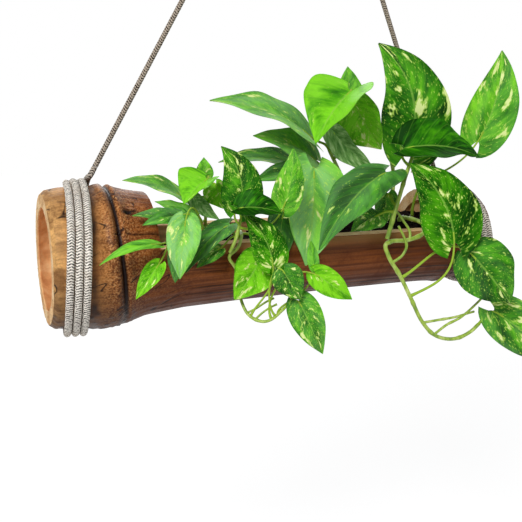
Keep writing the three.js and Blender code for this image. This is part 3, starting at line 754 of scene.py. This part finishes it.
# The loop goes up from the knot, over the lower bend of the hook and down again.
def make_loop(yarn):
    foot = APEX[2] + KNOT_HALF + GAP
    over = WIRE_DIAMETER / 2 + LOOP_DIAMETER / 2 + 2 * GAP
    half = [(3.2, foot), (3.4, foot + 5), (5.4, foot + 11), (6, PIVOT_HEIGHT - 3),
            (over * 0.9, PIVOT_HEIGHT + over * 0.5)]
    right = [(APEX[0] + x, 0, z) for x, z in half]
    left = [(APEX[0] - x, 0, z) for x, z in reversed(half)]
    bight = smooth_curve([*right, (APEX[0], 0, PIVOT_HEIGHT + over), *left])
    loop, path = make_rope("hanging_loop", bight, (LOOP_DIAMETER, LOOP_DIAMETER), (0.5, 0.5), yarn, "loop")


# Points on a bend of the hook, between two angles in degrees from the back upwards.
def hook_arc(centre, radius, angles):
    angle = np.radians(np.linspace(*angles, 12))
    x = np.full_like(angle, APEX[0])
    return np.stack([x, radius * np.cos(angle), centre + radius * np.sin(angle)], axis=1)


# The wire of the hook, with round ends.
def make_hook(steel):
    wire = np.concatenate([hook_arc(HOOK_TOP_CENTRE, HOOK_TOP_RADIUS, HOOK_TOP_ARC),
                           hook_arc(HOOK_LOW_CENTRE, HOOK_LOW_RADIUS, HOOK_LOW_ARC)])
    path, run = resample(smooth_curve(wire), HOOK_STEP)
    to_end = np.clip(np.minimum(run, run[-1] - run) / (WIRE_DIAMETER / 2), 0.0, 1.0)
    rounding = np.clip(1.0 - (1.0 - to_end) ** 2, 0.02, 1.0)
    radius = WIRE_DIAMETER / 2 * np.sqrt(rounding)
    points, faces = sweep(path, np.repeat(radius[:, None], HOOK_SIDES, axis=1))
    make_piece("s_hook_wire", points, faces, [steel], "steel", "s_hook", "hook")


# Culm. The cut plane splits each ring into a lower and an upper part.
def cut_angles(radius):
    swing = np.arccos(CUT_HEIGHT / (math.hypot(1.0, CUT_SLOPE) * radius))
    return swing - CUT_TILT, 2.0 * np.pi - swing - CUT_TILT


def ring_angles(radius, shares, upper):
    low, high = cut_angles(radius)
    if upper:
        low, high = high, low + 2.0 * np.pi
    return low[:, None] + (high - low)[:, None] * shares[None, :]


# From 0 at the top of a ring to 1 at its bottom.
def lowness(angle):
    return (1.0 - np.cos(angle)) / 2.0


# Relief of the skin. Each function gives the height over the plain outline and how dark the skin is painted
# there, by a mark or by painted shade.
def grain_relief(x, angle):
    grain = 0.12 * np.sin(47 * angle + 1.2 * np.sin(0.021 * x))
    grain += 0.1 * np.sin(29 * angle + 0.9 * np.sin(0.03 * x))
    grain *= np.clip((x - 52) / 12, 0.25, 1.0)
    swell = 0.3 * np.sin(2 * angle + 0.6) + 0.2 * np.sin(3 * angle + 0.02 * x)
    nicks = np.clip(np.sin(9 * angle) + np.sin(17 * angle + 1.0) - 1.0, 0.0, 1.0) * bump_at(x, 0.0, 3.5)
    return grain + swell - 0.8 * nicks, 0.0


# The groove and the lip of the left node, worn smooth below, its beads of root buds, and the right groove.
def node_relief(x, angle):
    low = lowness(angle)
    groove = bump_at(x, NODE_GROOVE, 1.6) * (0.8 + 0.2 * np.sin(3 * angle + 1.0)) * (1.0 - 0.9 * low ** 4)
    lip = bump_at(x, NODE_LIP, 1.2) * (1.0 - 0.8 * low ** 2)
    smooth = np.interp(x, [20, 33, 60, 67], [52.2, 54.6, 49.2, 47.7])
    worn = (culm_radius(x) - smooth) * ((x > 20) & (x < 67)) * low ** 4
    beads = np.clip(np.sin(61 * angle) * np.sin(2.2 * x) - 0.2, 0.0, 1.0)
    beads *= bump_at(x, 43.6, 4.0) * (low > 0.35)
    right_groove = bump_at(x, RIGHT_GROOVE, 1.0)
    height = 0.6 * lip - 1.7 * groove - 0.8 * right_groove - worn + 0.4 * beads
    mark = 1.9 * groove - 0.6 * lip + 0.5 * right_groove + 0.6 * beads + 0.5 * bump_at(x, 41.6, 2.2)
    mark += 0.4 * bump_at(x, 52.0, 2.5) * np.clip(np.sin(7 * angle) + 0.2, 0, 1)
    return height, mark


# The scar of a bud: a pit, with a lid over it and a crease below the lid. The pit and the crease are darkened
# with painted shade, in the pit and under the lid.
def bud_relief(x, angle):
    run = x - BUD_AT
    arc = (angle - BUD_ANGLE) * culm_radius(x)
    pit = bump_at(run, -3.5, 2.6) * bump_at(arc, 0.3, 1.9)
    lid = bump_at(run, 1.0, 6.5) * bump_at(arc, 3.2 - 0.02 * run * run, 0.9)
    crease = bump_at(run, 0.5, 6.5) * bump_at(arc, 1.6 - 0.03 * run * run, 0.9)
    return 0.9 * lid - 2.2 * pit, 1.8 * pit + 1.1 * crease


# A kerf from the left face of the cut-out to the node.
def kerf_relief(x, angle):
    kerf = bump_at((angle - KERF_ANGLE) * culm_radius(x), 0.5 * np.sin(0.3 * x), 0.55)
    kerf *= np.clip((x - 38) / 6, 0, 1) * (x <= CUT_START)
    return -0.9 * kerf, 0.9 * kerf


# Warts under the thick end.
def wart_relief(x, angle):
    rough = np.sin(13 * angle + 0.31 * x) * np.sin(0.83 * x + 5 * angle)
    rough += 0.6 * np.sin(31 * angle - 0.57 * x)
    warts = np.clip(rough - 0.35, 0.0, 1.0) * np.clip((lowness(angle) - 0.72) / 0.2, 0.0, 1.0)
    warts *= np.clip((62 - x) / 20, 0, 1)
    return 0.5 * warts, 0.8 * warts


# Painted shadow of the left coil, darkening the skin beside it.
def coil_shadow_relief(x, angle):
    coil = COILS["left"]
    edge = coil["middle"] + coil["turns"] / 2 * COIL_PITCH + coil_lean(coil, angle)
    coil_shadow = bump_at(x, edge + 1.0, 3.0) * (0.6 + 0.35 * np.sin(5 * angle + 0.4) * np.sin(11 * angle))
    return 0.0, coil_shadow


def culm_relief(x, angle):
    reliefs = [relief(x, angle) for relief in (
        grain_relief, node_relief, bud_relief, kerf_relief, wart_relief, coil_shadow_relief)]
    height = sum(relief[0] for relief in reliefs)
    mark = sum(relief[1] for relief in reliefs)
    return height, np.clip(mark, 0.0, 1.0)


# Points of the skin, its marks, and how near they are to the edge of the cut-out. The node leans below.
def outer_skin(stations, shares, upper):
    x = np.repeat(stations[:, None], len(shares), axis=1)
    angle = ring_angles(culm_radius(stations), shares, upper)
    height, mark = culm_relief(x, angle % (2.0 * np.pi))
    radius = culm_radius(x) + height
    near = np.clip(1.0 - np.abs(x - NODE_MIDDLE) / NODE_REACH, 0.0, 1.0)
    slip = NODE_LEAN * lowness(angle) ** 2 * np.minimum(1.0, 1.3 * near)
    points = about_axis(x + slip, angle, radius)
    edge = np.minimum(shares, 1.0 - shares)[None, :] * (angle[:, -1:] - angle[:, :1]) * radius
    within = (x > CUT_START) & (x < CUT_END) & (not upper)
    return points, mark, bump_at(edge, 0.0, RIM_WIDTH) * within


# Past the span the trough keeps the radius of the span's ends.
def hollow_radius(x):
    return culm_radius(np.clip(x, *HOLLOW_SPAN)) - WALL


def hollow_skin(stations, shares, upper):
    radius = hollow_radius(stations)
    angle = ring_angles(radius, shares, upper)
    x = stations[:, None]
    return about_axis(x, angle, radius[:, None] + 0.25 * np.sin(21 * angle) * np.sin(9 * angle + 0.05 * x))


# Collects grids of points into one mesh.
class Shell:
    def __init__(self):
        self.points = []
        self.faces = []
        self.materials = []
        self.mark = []
        self.rim = []
        self.count = 0

    def add_points(self, points, mark=None, rim=None):
        flat = points.reshape(-1, 3)
        start = self.count
        self.points.append(flat)
        self.mark.append(np.zeros(len(flat)) if mark is None else mark.ravel())
        self.rim.append(np.zeros(len(flat)) if rim is None else rim.ravel())
        self.count += len(flat)
        return start

    def add_grid(self, points, material, flip, mark=None, rim=None, wrap=False):
        start = self.add_points(points, mark, rim)
        faces = grid_faces(points.shape[0], points.shape[1], start, flip, wrap)
        self.faces.extend(faces)
        self.materials.extend([material] * len(faces))

    def add_disc(self, ring, material, flip):
        start = self.add_points(ring)
        face = tuple(range(start, start + len(ring)))
        self.faces.append(face[::-1] if flip else face)
        self.materials.append(material)


# Rows of points from one line to another, with rough end grain between them.
def bridge(outer, inner, steps, rough=0.0):
    share = np.linspace(0.0, 1.0, steps)[:, None, None]
    rows = outer[None] * (1.0 - share) + inner[None] * share
    if rough:
        rows[1:-1, :, 0] += RANDOM.normal(0.0, rough, rows[1:-1, :, 0].shape)
    return rows


# The hollow at an open end: the sawn ring from the outer edge, the wall and the septum.
def add_cup(shell, outer, profile, flip):
    angle = np.arctan2(outer[:, 1], outer[:, 2])
    rings = []
    for x, radius in profile:
        wavy = radius * (1.0 + 0.008 * np.cos(6 * angle + 0.7) + 0.004 * np.sin(15 * angle))
        rings.append(about_axis(x, angle, wavy))
    shell.add_grid(bridge(outer, rings[0], 7, 0.25), WOOD, flip, wrap=True)
    shell.add_grid(np.array(rings), HOLLOW, flip, wrap=True)
    shell.add_disc(rings[-1], HOLLOW, not flip)


def make_culm(skin, wood, hollow):
    shell = Shell()
    left = np.concatenate([np.linspace(0, 3, 6), np.arange(4, 36, 1.2), np.arange(36, 62, 0.45),
                           np.linspace(62, CUT_START, 14)])
    middle = np.linspace(CUT_START, CUT_END, 90)
    right = np.concatenate([np.linspace(CUT_END, 340, 10), np.linspace(340.6, 350, 20),
                            np.linspace(352, CULM_LENGTH, 16)])
    whole = np.concatenate([left, middle[1:], right[1:]])
    lower, mark, rim = outer_skin(whole, LOWER_SHARES, False)
    shell.add_grid(lower, SKIN, True, mark, rim)
    left_top, mark, rim = outer_skin(left, UPPER_SHARES, True)
    shell.add_grid(left_top, SKIN, True, mark, rim)
    right_top, mark, rim = outer_skin(right, UPPER_SHARES, True)
    shell.add_grid(right_top, SKIN, True, mark, rim)

    # The trough, with a lid over each of its ends.
    left_stations = np.linspace(LEFT_SEPTUM[1], CUT_START, 8)
    right_stations = np.linspace(CUT_END, RIGHT_SEPTUM[0], 4)
    trough = np.concatenate([left_stations, middle[1:], right_stations[1:]])
    inner = hollow_skin(trough, LOWER_SHARES, False)
    shell.add_grid(inner, HOLLOW, False)
    left_lid = hollow_skin(left_stations, UPPER_SHARES, True)
    right_lid = hollow_skin(right_stations, UPPER_SHARES, True)
    shell.add_grid(left_lid, HOLLOW, False)
    shell.add_grid(right_lid, HOLLOW, False)
    shell.add_disc(np.concatenate([inner[0], left_lid[0][1:-1]]), HOLLOW, True)
    shell.add_disc(np.concatenate([inner[-1], right_lid[-1][1:-1]]), HOLLOW, False)

    # The cut faces along and across the culm, and its open ends.
    outer_rows = slice(len(left) - 1, len(left) - 1 + len(middle))
    inner_rows = slice(len(left_stations) - 1, len(left_stations) - 1 + len(middle))
    for column, flip in ((0, True), (-1, False)):
        shell.add_grid(bridge(lower[outer_rows, column], inner[inner_rows, column], 5), WOOD, flip)
    shell.add_grid(bridge(left_top[-1], left_lid[-1], 5, 0.12), WOOD, True)
    shell.add_grid(bridge(right_top[0], right_lid[0], 5, 0.12), WOOD, False)
    add_cup(shell, np.concatenate([lower[0], left_top[0][1:-1]]), LEFT_CUP, True)
    add_cup(shell, np.concatenate([lower[-1], right_top[-1][1:-1]]), RIGHT_CUP, False)

    layers = {"mark": np.concatenate(shell.mark), "rim": np.concatenate(shell.rim)}
    culm = make_piece("bamboo_culm_skin", np.concatenate(shell.points), shell.faces, [skin, hollow, wood],
                      "bamboo", "bamboo_culm", layers=layers, face_materials=shell.materials)
    tidy_solid(culm, 38.0)


# Soil.
def soil_height(x, y):
    share = (x - CUT_START) / (CUT_END - CUT_START)
    drop = SOIL_DROP_LEFT + (SOIL_DROP_RIGHT - SOIL_DROP_LEFT) * share
    return CUT_HEIGHT + CUT_SLOPE * y - drop + SOIL_MOUND * np.cos(np.pi * y / SOIL_SPAN)


def lumps(x, y):
    return (0.7 * np.sin(0.31 * x + 0.2 * y) * np.sin(0.27 * y - 0.1 * x) + 0.5 * np.sin(0.9 * x + 1.3 * y)
            + 0.35 * np.sin(1.7 * x - 1.1 * y + 2.0))


# Small uneven lumps strewn over the soil.
def chips(count, smallest, largest):
    base = bmesh.new()
    bmesh.ops.create_icosphere(base, subdivisions=1, radius=1.0)
    shape = np.array([vertex.co for vertex in base.verts])
    corners = [tuple(vertex.index for vertex in face.verts) for face in base.faces]
    base.free()
    points = []
    faces = []
    for i in range(count):
        x = RANDOM.uniform(SOIL_START + CHIP_MARGIN, RIGHT_SEPTUM[0] - CHIP_MARGIN)
        y = RANDOM.uniform(-CHIP_REACH, CHIP_REACH)
        size = RANDOM.uniform(smallest, largest) * RANDOM.uniform(0.6, 1.0, 3)
        crumb = shape * (1.0 + RANDOM.normal(0.0, 0.13, (len(shape), 1))) * size
        points.append(crumb + np.array([x, y, soil_height(x, y) + lumps(x, y) + 0.2 * size[2]]))
        faces += moved_on(corners, i * len(shape))
    return np.concatenate(points), faces


def make_soil(mix, perlite):
    rows, columns = SOIL_GRID
    x = np.linspace(SOIL_START + GAP, RIGHT_SEPTUM[0] - 2 * GAP, rows)[:, None]
    share = np.linspace(-1.0, 1.0, columns)[None, :]
    radius = hollow_radius(x) - 2 * GAP
    y = share * np.sqrt(radius ** 2 - soil_height(x, SOIL_EDGE) ** 2)
    x = np.repeat(x, columns, axis=1)
    edge = np.clip((1.0 - np.abs(share)) * 8.0, 0.0, 1.0)
    top = np.stack([x, y, soil_height(x, y) + edge * lumps(x, y)], axis=2)
    bottom = np.stack([x, y, -np.sqrt(radius ** 2 - y ** 2)], axis=2)
    heap, faces = closed_sheet(top, bottom)
    crumbs, crumb_faces = chips(**CRUMBS)
    faces += moved_on(crumb_faces, len(heap))
    make_piece("potting_soil_heap", np.concatenate([heap, crumbs]), faces, [mix], "soil", "potting_soil")
    make_piece("perlite_bits", *chips(**PERLITE), [perlite], "soil")


# Plants: the stems' points, and each leaf's base, tip, width, roll, arch, fold, holder, place and bow. The
# place is a share of the stem that holds the leaf, or x and y on the soil. Arch and bow are shares of its
# length.
STEMS = {
    "large_stem": [(261, -51, 6.8), (268.7, -51, 31.6), (279.2, -47, 55.2), (288.7, -42, 71)],
    "large_runner": [(301, 12), (307, 11, 41), (302, 10, 75), (290, 9, 95), (276, 8, 110), (262, 8, 119)],
    "large_left_stem": [(265, 12), (257, 11, 42), (249, 7, 58), (236, 1, 76)],
    "large_vine": [
        (298, -14), (303, -30, 18), (304, -41, 15), (300, -46, 9), (284, -47.5, 4.3), (266, -50, 4.5),
        (260, -51, 2), (263, -52, -8), (273, -53, -23), (284, -54, -43), (295, -56, -64), (306, -58, -76),
        (319, -59, -81), (331, -60, -81), (342, -62, -76), (349, -62, -71),
    ],
    "small_stem": [(126, -49.4, 4.6), (129, -54, 15.6), (132.5, -54, 28)],
    "small_left_stem": [(122, -6), (120, -14, 37), (119, -18, 47), (119, -20, 56)],
    "small_vine": [
        (143, -22), (142, -28, 16), (139, -40, 16), (133, -48, 8), (126, -47.8, 1), (131.5, -46.5, -8),
        (134.5, -45.5, -18), (134.5, -48, -30), (137, -55, -41), (141, -61, -45), (146, -66, -46),
        (151, -69, -44), (158, -74, -36),
    ],
}
SHOOTS = {
    "large_vine": [
        [(296, -56, -65), (312, -57, -64), (327, -58, -63), (341, -58, -61), (348, -57, -60.5)],
        [(306, -58, -76), (320, -57, -69), (333, -58, -64), (350, -59, -52), (356, -59, -47)],
        [(286, -47.3, 4.6), (287, -45, 11), (283, -42, 19), (276, -38, 30)],
        [(266, -52.3, -12.5), (274, -54, -7), (278, -54, 0), (276, -53, 8), (271, -52, 17)],
    ],
    "small_vine": [
        [(141, -61, -45), (147, -61, -40.5), (152, -62.5, -37), (157, -65, -34)],
        [(137, -55, -41), (144, -56, -38), (151, -59, -33), (156, -62, -30)],
    ],
}
LEAVES = [
    ("large_leaf_a", (215, -6, 87), (123, -14, 115), 43, 50, 0.1, 0.18, "large_left_stem", 1),
    ("large_leaf_b", (224, 2, 68), (164, -2, 89), 36, 40, 0.1, 0.18, "large_left_stem", 0.8),
    ("large_leaf_c", (223, 31, 63), (145, 27, 67), 28, 50, 0.08, 0.26, "large_left_stem", 0.5),
    ("large_leaf_d", (249, -10, 125), (206, -30, 82), 54, 32, 0.08, 0.6, "large_runner", 1),
    ("large_leaf_e", (261, 14, 116), (257, 10, 147), 25, 10, 0.05, 0.14, "large_runner", 0.9),
    ("large_leaf_g", (257, 0, 119), (283, -6, 77), 44, 38, 0.05, 0.6, "large_runner", 0.86),
    ("large_leaf_h", (226, -16, 95), (273, -18, 57), 28, 148, 0.05, 0.14, "large_left_stem", 0.9),
    ("large_leaf_i", (306, -14, 75), (273, -10, 165), 60, 0, 0.06, 0.1, "large_stem", 1, -0.15),
    ("large_leaf_j", (282, -40, 79), (345, -58, 71), 50, -42, 0.1, 0.4, "large_stem", 0.9),
    ("large_leaf_k", (364, -32, 83), (385, -32, 162), 42, -8, 0.08, 0.25, "soil", (318, -4), -0.06),
    ("large_leaf_l", (312, -72, 3), (277, -54, 68), 51, 5, 0.06, 0.1, "large_vine", 0.6, -0.1),
    ("large_leaf_m", (330, -70, -6), (365, -82, -50), 49, 0, 0.08, 0.14, "large_vine", 0.515),
    ("large_leaf_n", (362, -65.5, -58.5), (432, -77, -111), 42, 0, 0.06, 0.14, "large_vine", 1),
    ("large_leaf_p", (230, 9, 58), (163, -2, 52), 28, 40, 0.06, 0.26, "large_left_stem", 0.56),
    ("large_leaf_q", (207.5, -25, 64), (188.5, -49, -11), 60, -24, 0.06, 0.14, "soil", (213, -12)),
    ("large_leaf_r", (175, -37, 31), (162, -46, -15), 25, -22, 0.03, 0.1, "soil", (186, -14)),
    ("large_leaf_s", (149, -55, 0), (126, -56.5, -30), 33, -18, 0.06, 0.18, "soil", (143, -16)),
    ("large_leaf_t", (267.5, -38, 60), (189, -69, 4), 45, 38, 0.1, 0.14, "large_stem", 0.7),
    ("large_leaf_u", (269, -38, 43), (262, -40, 14), 19, 0, 0.06, 0.14, "large_stem", 0.4),
    ("large_leaf_v", (254.5, -46, 25.5), (224, -56, 15), 22, 20, 0.08, 0.14, "large_stem", 0.32),
    ("small_leaf_a", (103, -8, 43), (55, -16, 57), 20, 50, 0.1, 0.18, "small_left_stem", 0.75),
    ("small_leaf_b", (113, -17, 25), (76, -27, 42), 20, 55, 0.04, 0.12, "small_left_stem", 0.4),
    ("small_leaf_c", (94, -38, 28), (55, -43, 34), 14, 40, 0.08, 0.26, "soil", (98, -20)),
    ("small_leaf_d", (116, -30, 57), (94, -40, 40), 32, 32, 0.08, 0.6, "small_left_stem", 1),
    ("small_leaf_e", (120, -12, 57), (119, -14, 73), 14, 10, 0.05, 0.14, "small_left_stem", 0.9),
    ("small_leaf_g", (124.2, -25, 53.5), (131.2, -30, 34), 22, 34, 0.05, 0.45, "small_left_stem", 0.93),
    ("small_leaf_h", (103.5, -31, 45), (124, -34, 27), 14, 150, 0.05, 0.14, "small_left_stem", 0.6),
    ("small_leaf_i", (135, -46, 35), (121, -45, 82), 31, 0, 0.06, 0.1, "small_stem", 1, -0.15),
    ("small_leaf_j", (128, -60, 38), (160, -69, 33), 26, -42, 0.1, 0.4, "small_stem", 0.9),
    ("small_leaf_k", (166, -56, 36), (173, -58, 81), 23, -8, 0.08, 0.25, "small_stem", 0.8, -0.06),
    ("small_leaf_l", (151.5, -70, -3), (131.5, -61, 34), 26, 5, 0.06, 0.1, "small_vine", 0.78, -0.1),
    ("small_leaf_m", (155.5, -78, -6), (167, -84, -28), 23, 0, 0.08, 0.14, "small_vine", 0.94),
    ("small_leaf_n", (168, -79, -29), (186, -84, -71), 25, 0, 0.06, 0.14, "small_vine", 1),
    ("small_leaf_o", (69, -58, 15), (27, -64, 4), 9, 30, 0.16, 0.18, "soil", (92, -19)),
    ("small_leaf_p", (91, -48, 34), (60, -52, 28), 14, 25, 0.06, 0.26, "soil", (106, -22)),
    ("small_leaf_q", (88.5, -62, 32), (81.5, -68, -9), 24, 0, 0.06, 0.14, "soil", (116, -25)),
    ("small_leaf_r", (88, -52, 14), (82, -55, -14), 16, 8, 0.05, 0.14, "soil", (91, -13)),
    ("small_leaf_s", (70, -57.5, 1), (52, -60.5, -22), 14, 4, 0.06, 0.18, "soil", (88, -14)),
    ("small_leaf_t", (129, -42, 24.5), (90, -54, -8), 23, 38, 0.1, 0.14, "small_stem", 0.5),
    ("small_leaf_v", (118, -50, 8), (99, -52, -5), 13, 20, 0.08, 0.14, "small_vine", 0.24),
    ("small_leaf_w", (180, -80, -10), (209, -86, -31), 20, -5, 0.08, 0.14, "small_vine", 0.91),
    ("small_leaf_x", (183, -74, -7), (179, -76, 14), 9, 0, -0.15, 0.18, "small_vine", 0.96),
]
# How bright each leaf is, from dark to lime, which is partly its own green and partly painted light and
# shade, as for g, painted bright though it lies in shade; how much of it is cream; and how much of the
# painted grey-blue sheen lies on its green.
LOOKS = {
    "a": (0.7, 0.85, 0.6), "b": (0.85, 0.7, 0.5), "c": (0.5, 0.7, 0.4), "d": (1.0, 0.4, 0.05),
    "e": (0.7, 0.5, 0.2), "g": (1.0, 1.0, 0.05), "h": (0.4, 0.3, 0.3), "i": (0.33, 0.8, 0.05),
    "j": (0.1, 0.1, 0.0), "k": (0.66, 0.8, 0.15), "l": (0.33, 0.8, 0.0), "m": (0.3, 0.75, 0.1),
    "n": (0.52, 0.85, 0.2), "o": (0.78, 0.1, 0.2), "p": (0.4, 0.5, 0.3), "q": (0.8, 0.75, 0.8),
    "r": (0.3, 0.4, 0.3), "s": (0.84, 0.8, 0.0), "t": (0.3, 0.4, 0.3), "u": (0.45, 0.95, 0.2),
    "v": (0.36, 0.85, 0.2), "w": (0.88, 0.6, 0.0), "x": (0.84, 0.2, 0.3),
}


def size_of(name):
    return SIZES[name.split("_")[0]]


# A stem whose first point has two coordinates stands on the soil.
def stem_curve(name):
    root, *rest = STEMS[name]
    if len(root) == 2:
        foot = soil_height(*root) + GAP + SOIL_CLEAR * size_of(name)["stem"]
        rest = [(*root, foot + 3), *rest]
        root = (*root, foot)
    return resample(smooth_curve([root, *rest]), STEM_STEP)


# A tapering stalk that is thicker at its joints.
def stalk_tube(path, run, radius, spacing):
    joints = bump_at(run % spacing, spacing / 2, 2.2)
    thick = radius * (1.0 - 0.15 * run / run[-1]) * (0.95 + 0.2 * joints)
    angle = np.linspace(0.0, 2.0 * np.pi, 12, endpoint=False)[None, :]
    return sweep(path, thick[:, None] * (1.0 + 0.05 * np.cos(3 * angle)))


def make_stems(green):
    for name in STEMS:
        size = size_of(name)
        points, faces = stalk_tube(*stem_curve(name), size["stem"], STEM_JOINTS)
        for shoot in SHOOTS.get(name, []):
            path, run = resample(smooth_curve(shoot), STEM_STEP)
            more, more_faces = stalk_tube(path, run, size["petiole"], SHOOT_JOINTS)
            faces += moved_on(more_faces, len(points))
            points = np.concatenate([points, more])
        make_piece(f"{name}_green", points, faces, [green], "stem", name)


# A leaf turns its face to the light, and is then rolled about its length.
def leaf_axes(base, tip, roll):
    along = unit(tip - base)
    light = unit(LIGHT_SIDE)
    facing = unit(light - along * light.dot(along))
    turn = math.radians(roll)
    up = facing * math.cos(turn) + np.cross(along, facing) * math.sin(turn)
    return along, up, np.cross(up, along)


# A point of a blade: t runs from base to tip, s from edge to edge, and lift stands off the blade.
def blade_point(leaf, t, s, lift):
    half = leaf["width"] / 2 * 2.53 * t ** 0.45 * (1.0 - t) ** 1.08
    place = t - 0.15 * s * s * (1.0 - t) ** 3
    swell = 4.0 * leaf["length"] * place * (1.0 - place)
    along, up, across = leaf["axes"]
    slope = 4.0 * leaf["bow"] * (1.0 - 2.0 * place)
    reach = s * half / np.hypot(1.0, slope)
    rise = leaf["arch"] * swell + leaf["fold"] * np.abs(s) * half + lift
    shift = leaf["bow"] * swell + reach
    parts = [np.asarray(value)[..., None] for value in (leaf["length"] * place - slope * reach, rise, shift)]
    return leaf["base"] + along * parts[0] + up * parts[1] + across * parts[2]


# A petiole bends from its blade to the soil, to the tip of a stem or to a place along it.
def petiole_path(leaf, holder, place):
    start = blade_point(leaf, np.array(0.12), np.array(0.0), np.array(0.0))
    if holder == "soil":
        end = np.array([*place, soil_height(*place) + GAP + SOIL_CLEAR * leaf["petiole"]])
        outward = np.array([0.0, 0.0, 1.0])
    else:
        path = stem_curve(holder)[0]
        index = min(int(round(place * (len(path) - 1))), len(path) - 2)
        along = unit(path[index + 1] - path[index])
        centre = path[-1] if place == 1 else path[index]
        outward = leaf["base"] - centre
        outward = along if place == 1 else unit(outward - along * outward.dot(along))
        end = centre + outward * (0.0 if place == 1 else 0.6 * size_of(holder)["stem"])
    span = np.linalg.norm(start - end)
    heading = unit(leaf["base"] - start)
    lift = (0.5 if holder == "soil" else 0.38) * span
    return bezier(start, leaf["base"] + heading * 0.45 * span, end + outward * lift, end)


def petiole_tube(leaf, holder, place):
    path, run = resample(petiole_path(leaf, holder, place), PETIOLE_STEP)
    share = run / run[-1]
    radius = leaf["petiole"] * (0.62 + 0.38 * share + 0.25 * bump_at(share, 1.0, 0.06))
    return sweep(path, np.repeat(radius[:, None], 10, axis=1))


# A blade with rippled edges, a groove along its midrib and ribs, and its uv.
def blade_sheet(leaf, seed):
    t = (0.006 + 0.982 * np.linspace(0.0, 1.0, LEAF_ROWS) ** 1.15)[:, None]
    s = np.linspace(-1.0, 1.0, LEAF_COLUMNS)[None, :]
    t, s = np.broadcast_arrays(t, s)
    wave = np.sin(2 * np.pi * (2.3 * t + 0.37 * seed) + np.sign(s))
    ripple = 0.035 * leaf["width"] * s * s * wave * np.sin(np.pi * t)
    groove = -0.45 * bump_at(s, 0.0, 0.09) * (1.0 - t)
    ribs = 0.12 * np.cos(RIB_PHASE * (t - RIB_SWEEP * np.abs(s))) * (1.0 - s * s)
    middle = ripple + groove + ribs
    thick = leaf["blade"] / 2 * (0.35 + 0.65 * np.sqrt(np.clip(1.0 - s * s, 0.0, 1.0)))
    top = blade_point(leaf, t, s, middle + thick)
    bottom = blade_point(leaf, t, s, middle - thick)
    uv = np.stack([t.ravel(), (s.ravel() + 1.0) / 2.0], axis=1)
    return *closed_sheet(top, bottom), np.concatenate([uv, uv])


def make_leaf(row, material, seed):
    name, base, tip, width, roll, arch, fold, holder, place, *bow = row
    base = np.array(base, dtype=float)
    tip = np.array(tip, dtype=float)
    leaf = dict(base=base, length=np.linalg.norm(tip - base), axes=leaf_axes(base, tip, roll), width=width,
                arch=arch, fold=fold, bow=bow[0] if bow else 0.0, **size_of(name))
    blade, faces, uv = blade_sheet(leaf, seed)
    stalk, stalk_faces = petiole_tube(leaf, holder, place)
    faces += moved_on(stalk_faces, len(blade))
    points = np.concatenate([blade, stalk])
    uv = np.concatenate([uv, np.zeros((len(stalk), 2))])

    tone, cream, grey = LOOKS[name[-1]]
    even = {"tone": tone, "cream": cream, "grey": grey, "seed": 5.3 * seed}
    layers = {key: np.full(len(points), value) for key, value in even.items()}
    number = np.arange(len(points))
    layers["stalk"] = number >= len(blade)
    layers["under"] = (number >= len(blade) // 2) & (number < len(blade))
    make_piece(f"{name}_blade", points, faces, [material], "leaf", name, uv=uv, layers=layers)


make_camera()
yarn = rope_yarn()
make_ropes(yarn)
make_knot(yarn)
make_loop(yarn)
make_hook(hook_steel())
make_stage()
make_culm(bamboo_skin(), cut_wood(), hollow_wall())
make_soil(soil_crumb(), perlite_chip())
make_stems(green_stem())
leaf_green = leaf_blade()
for number, leaf_row in enumerate(LEAVES):
    make_leaf(leaf_row, leaf_green, number)
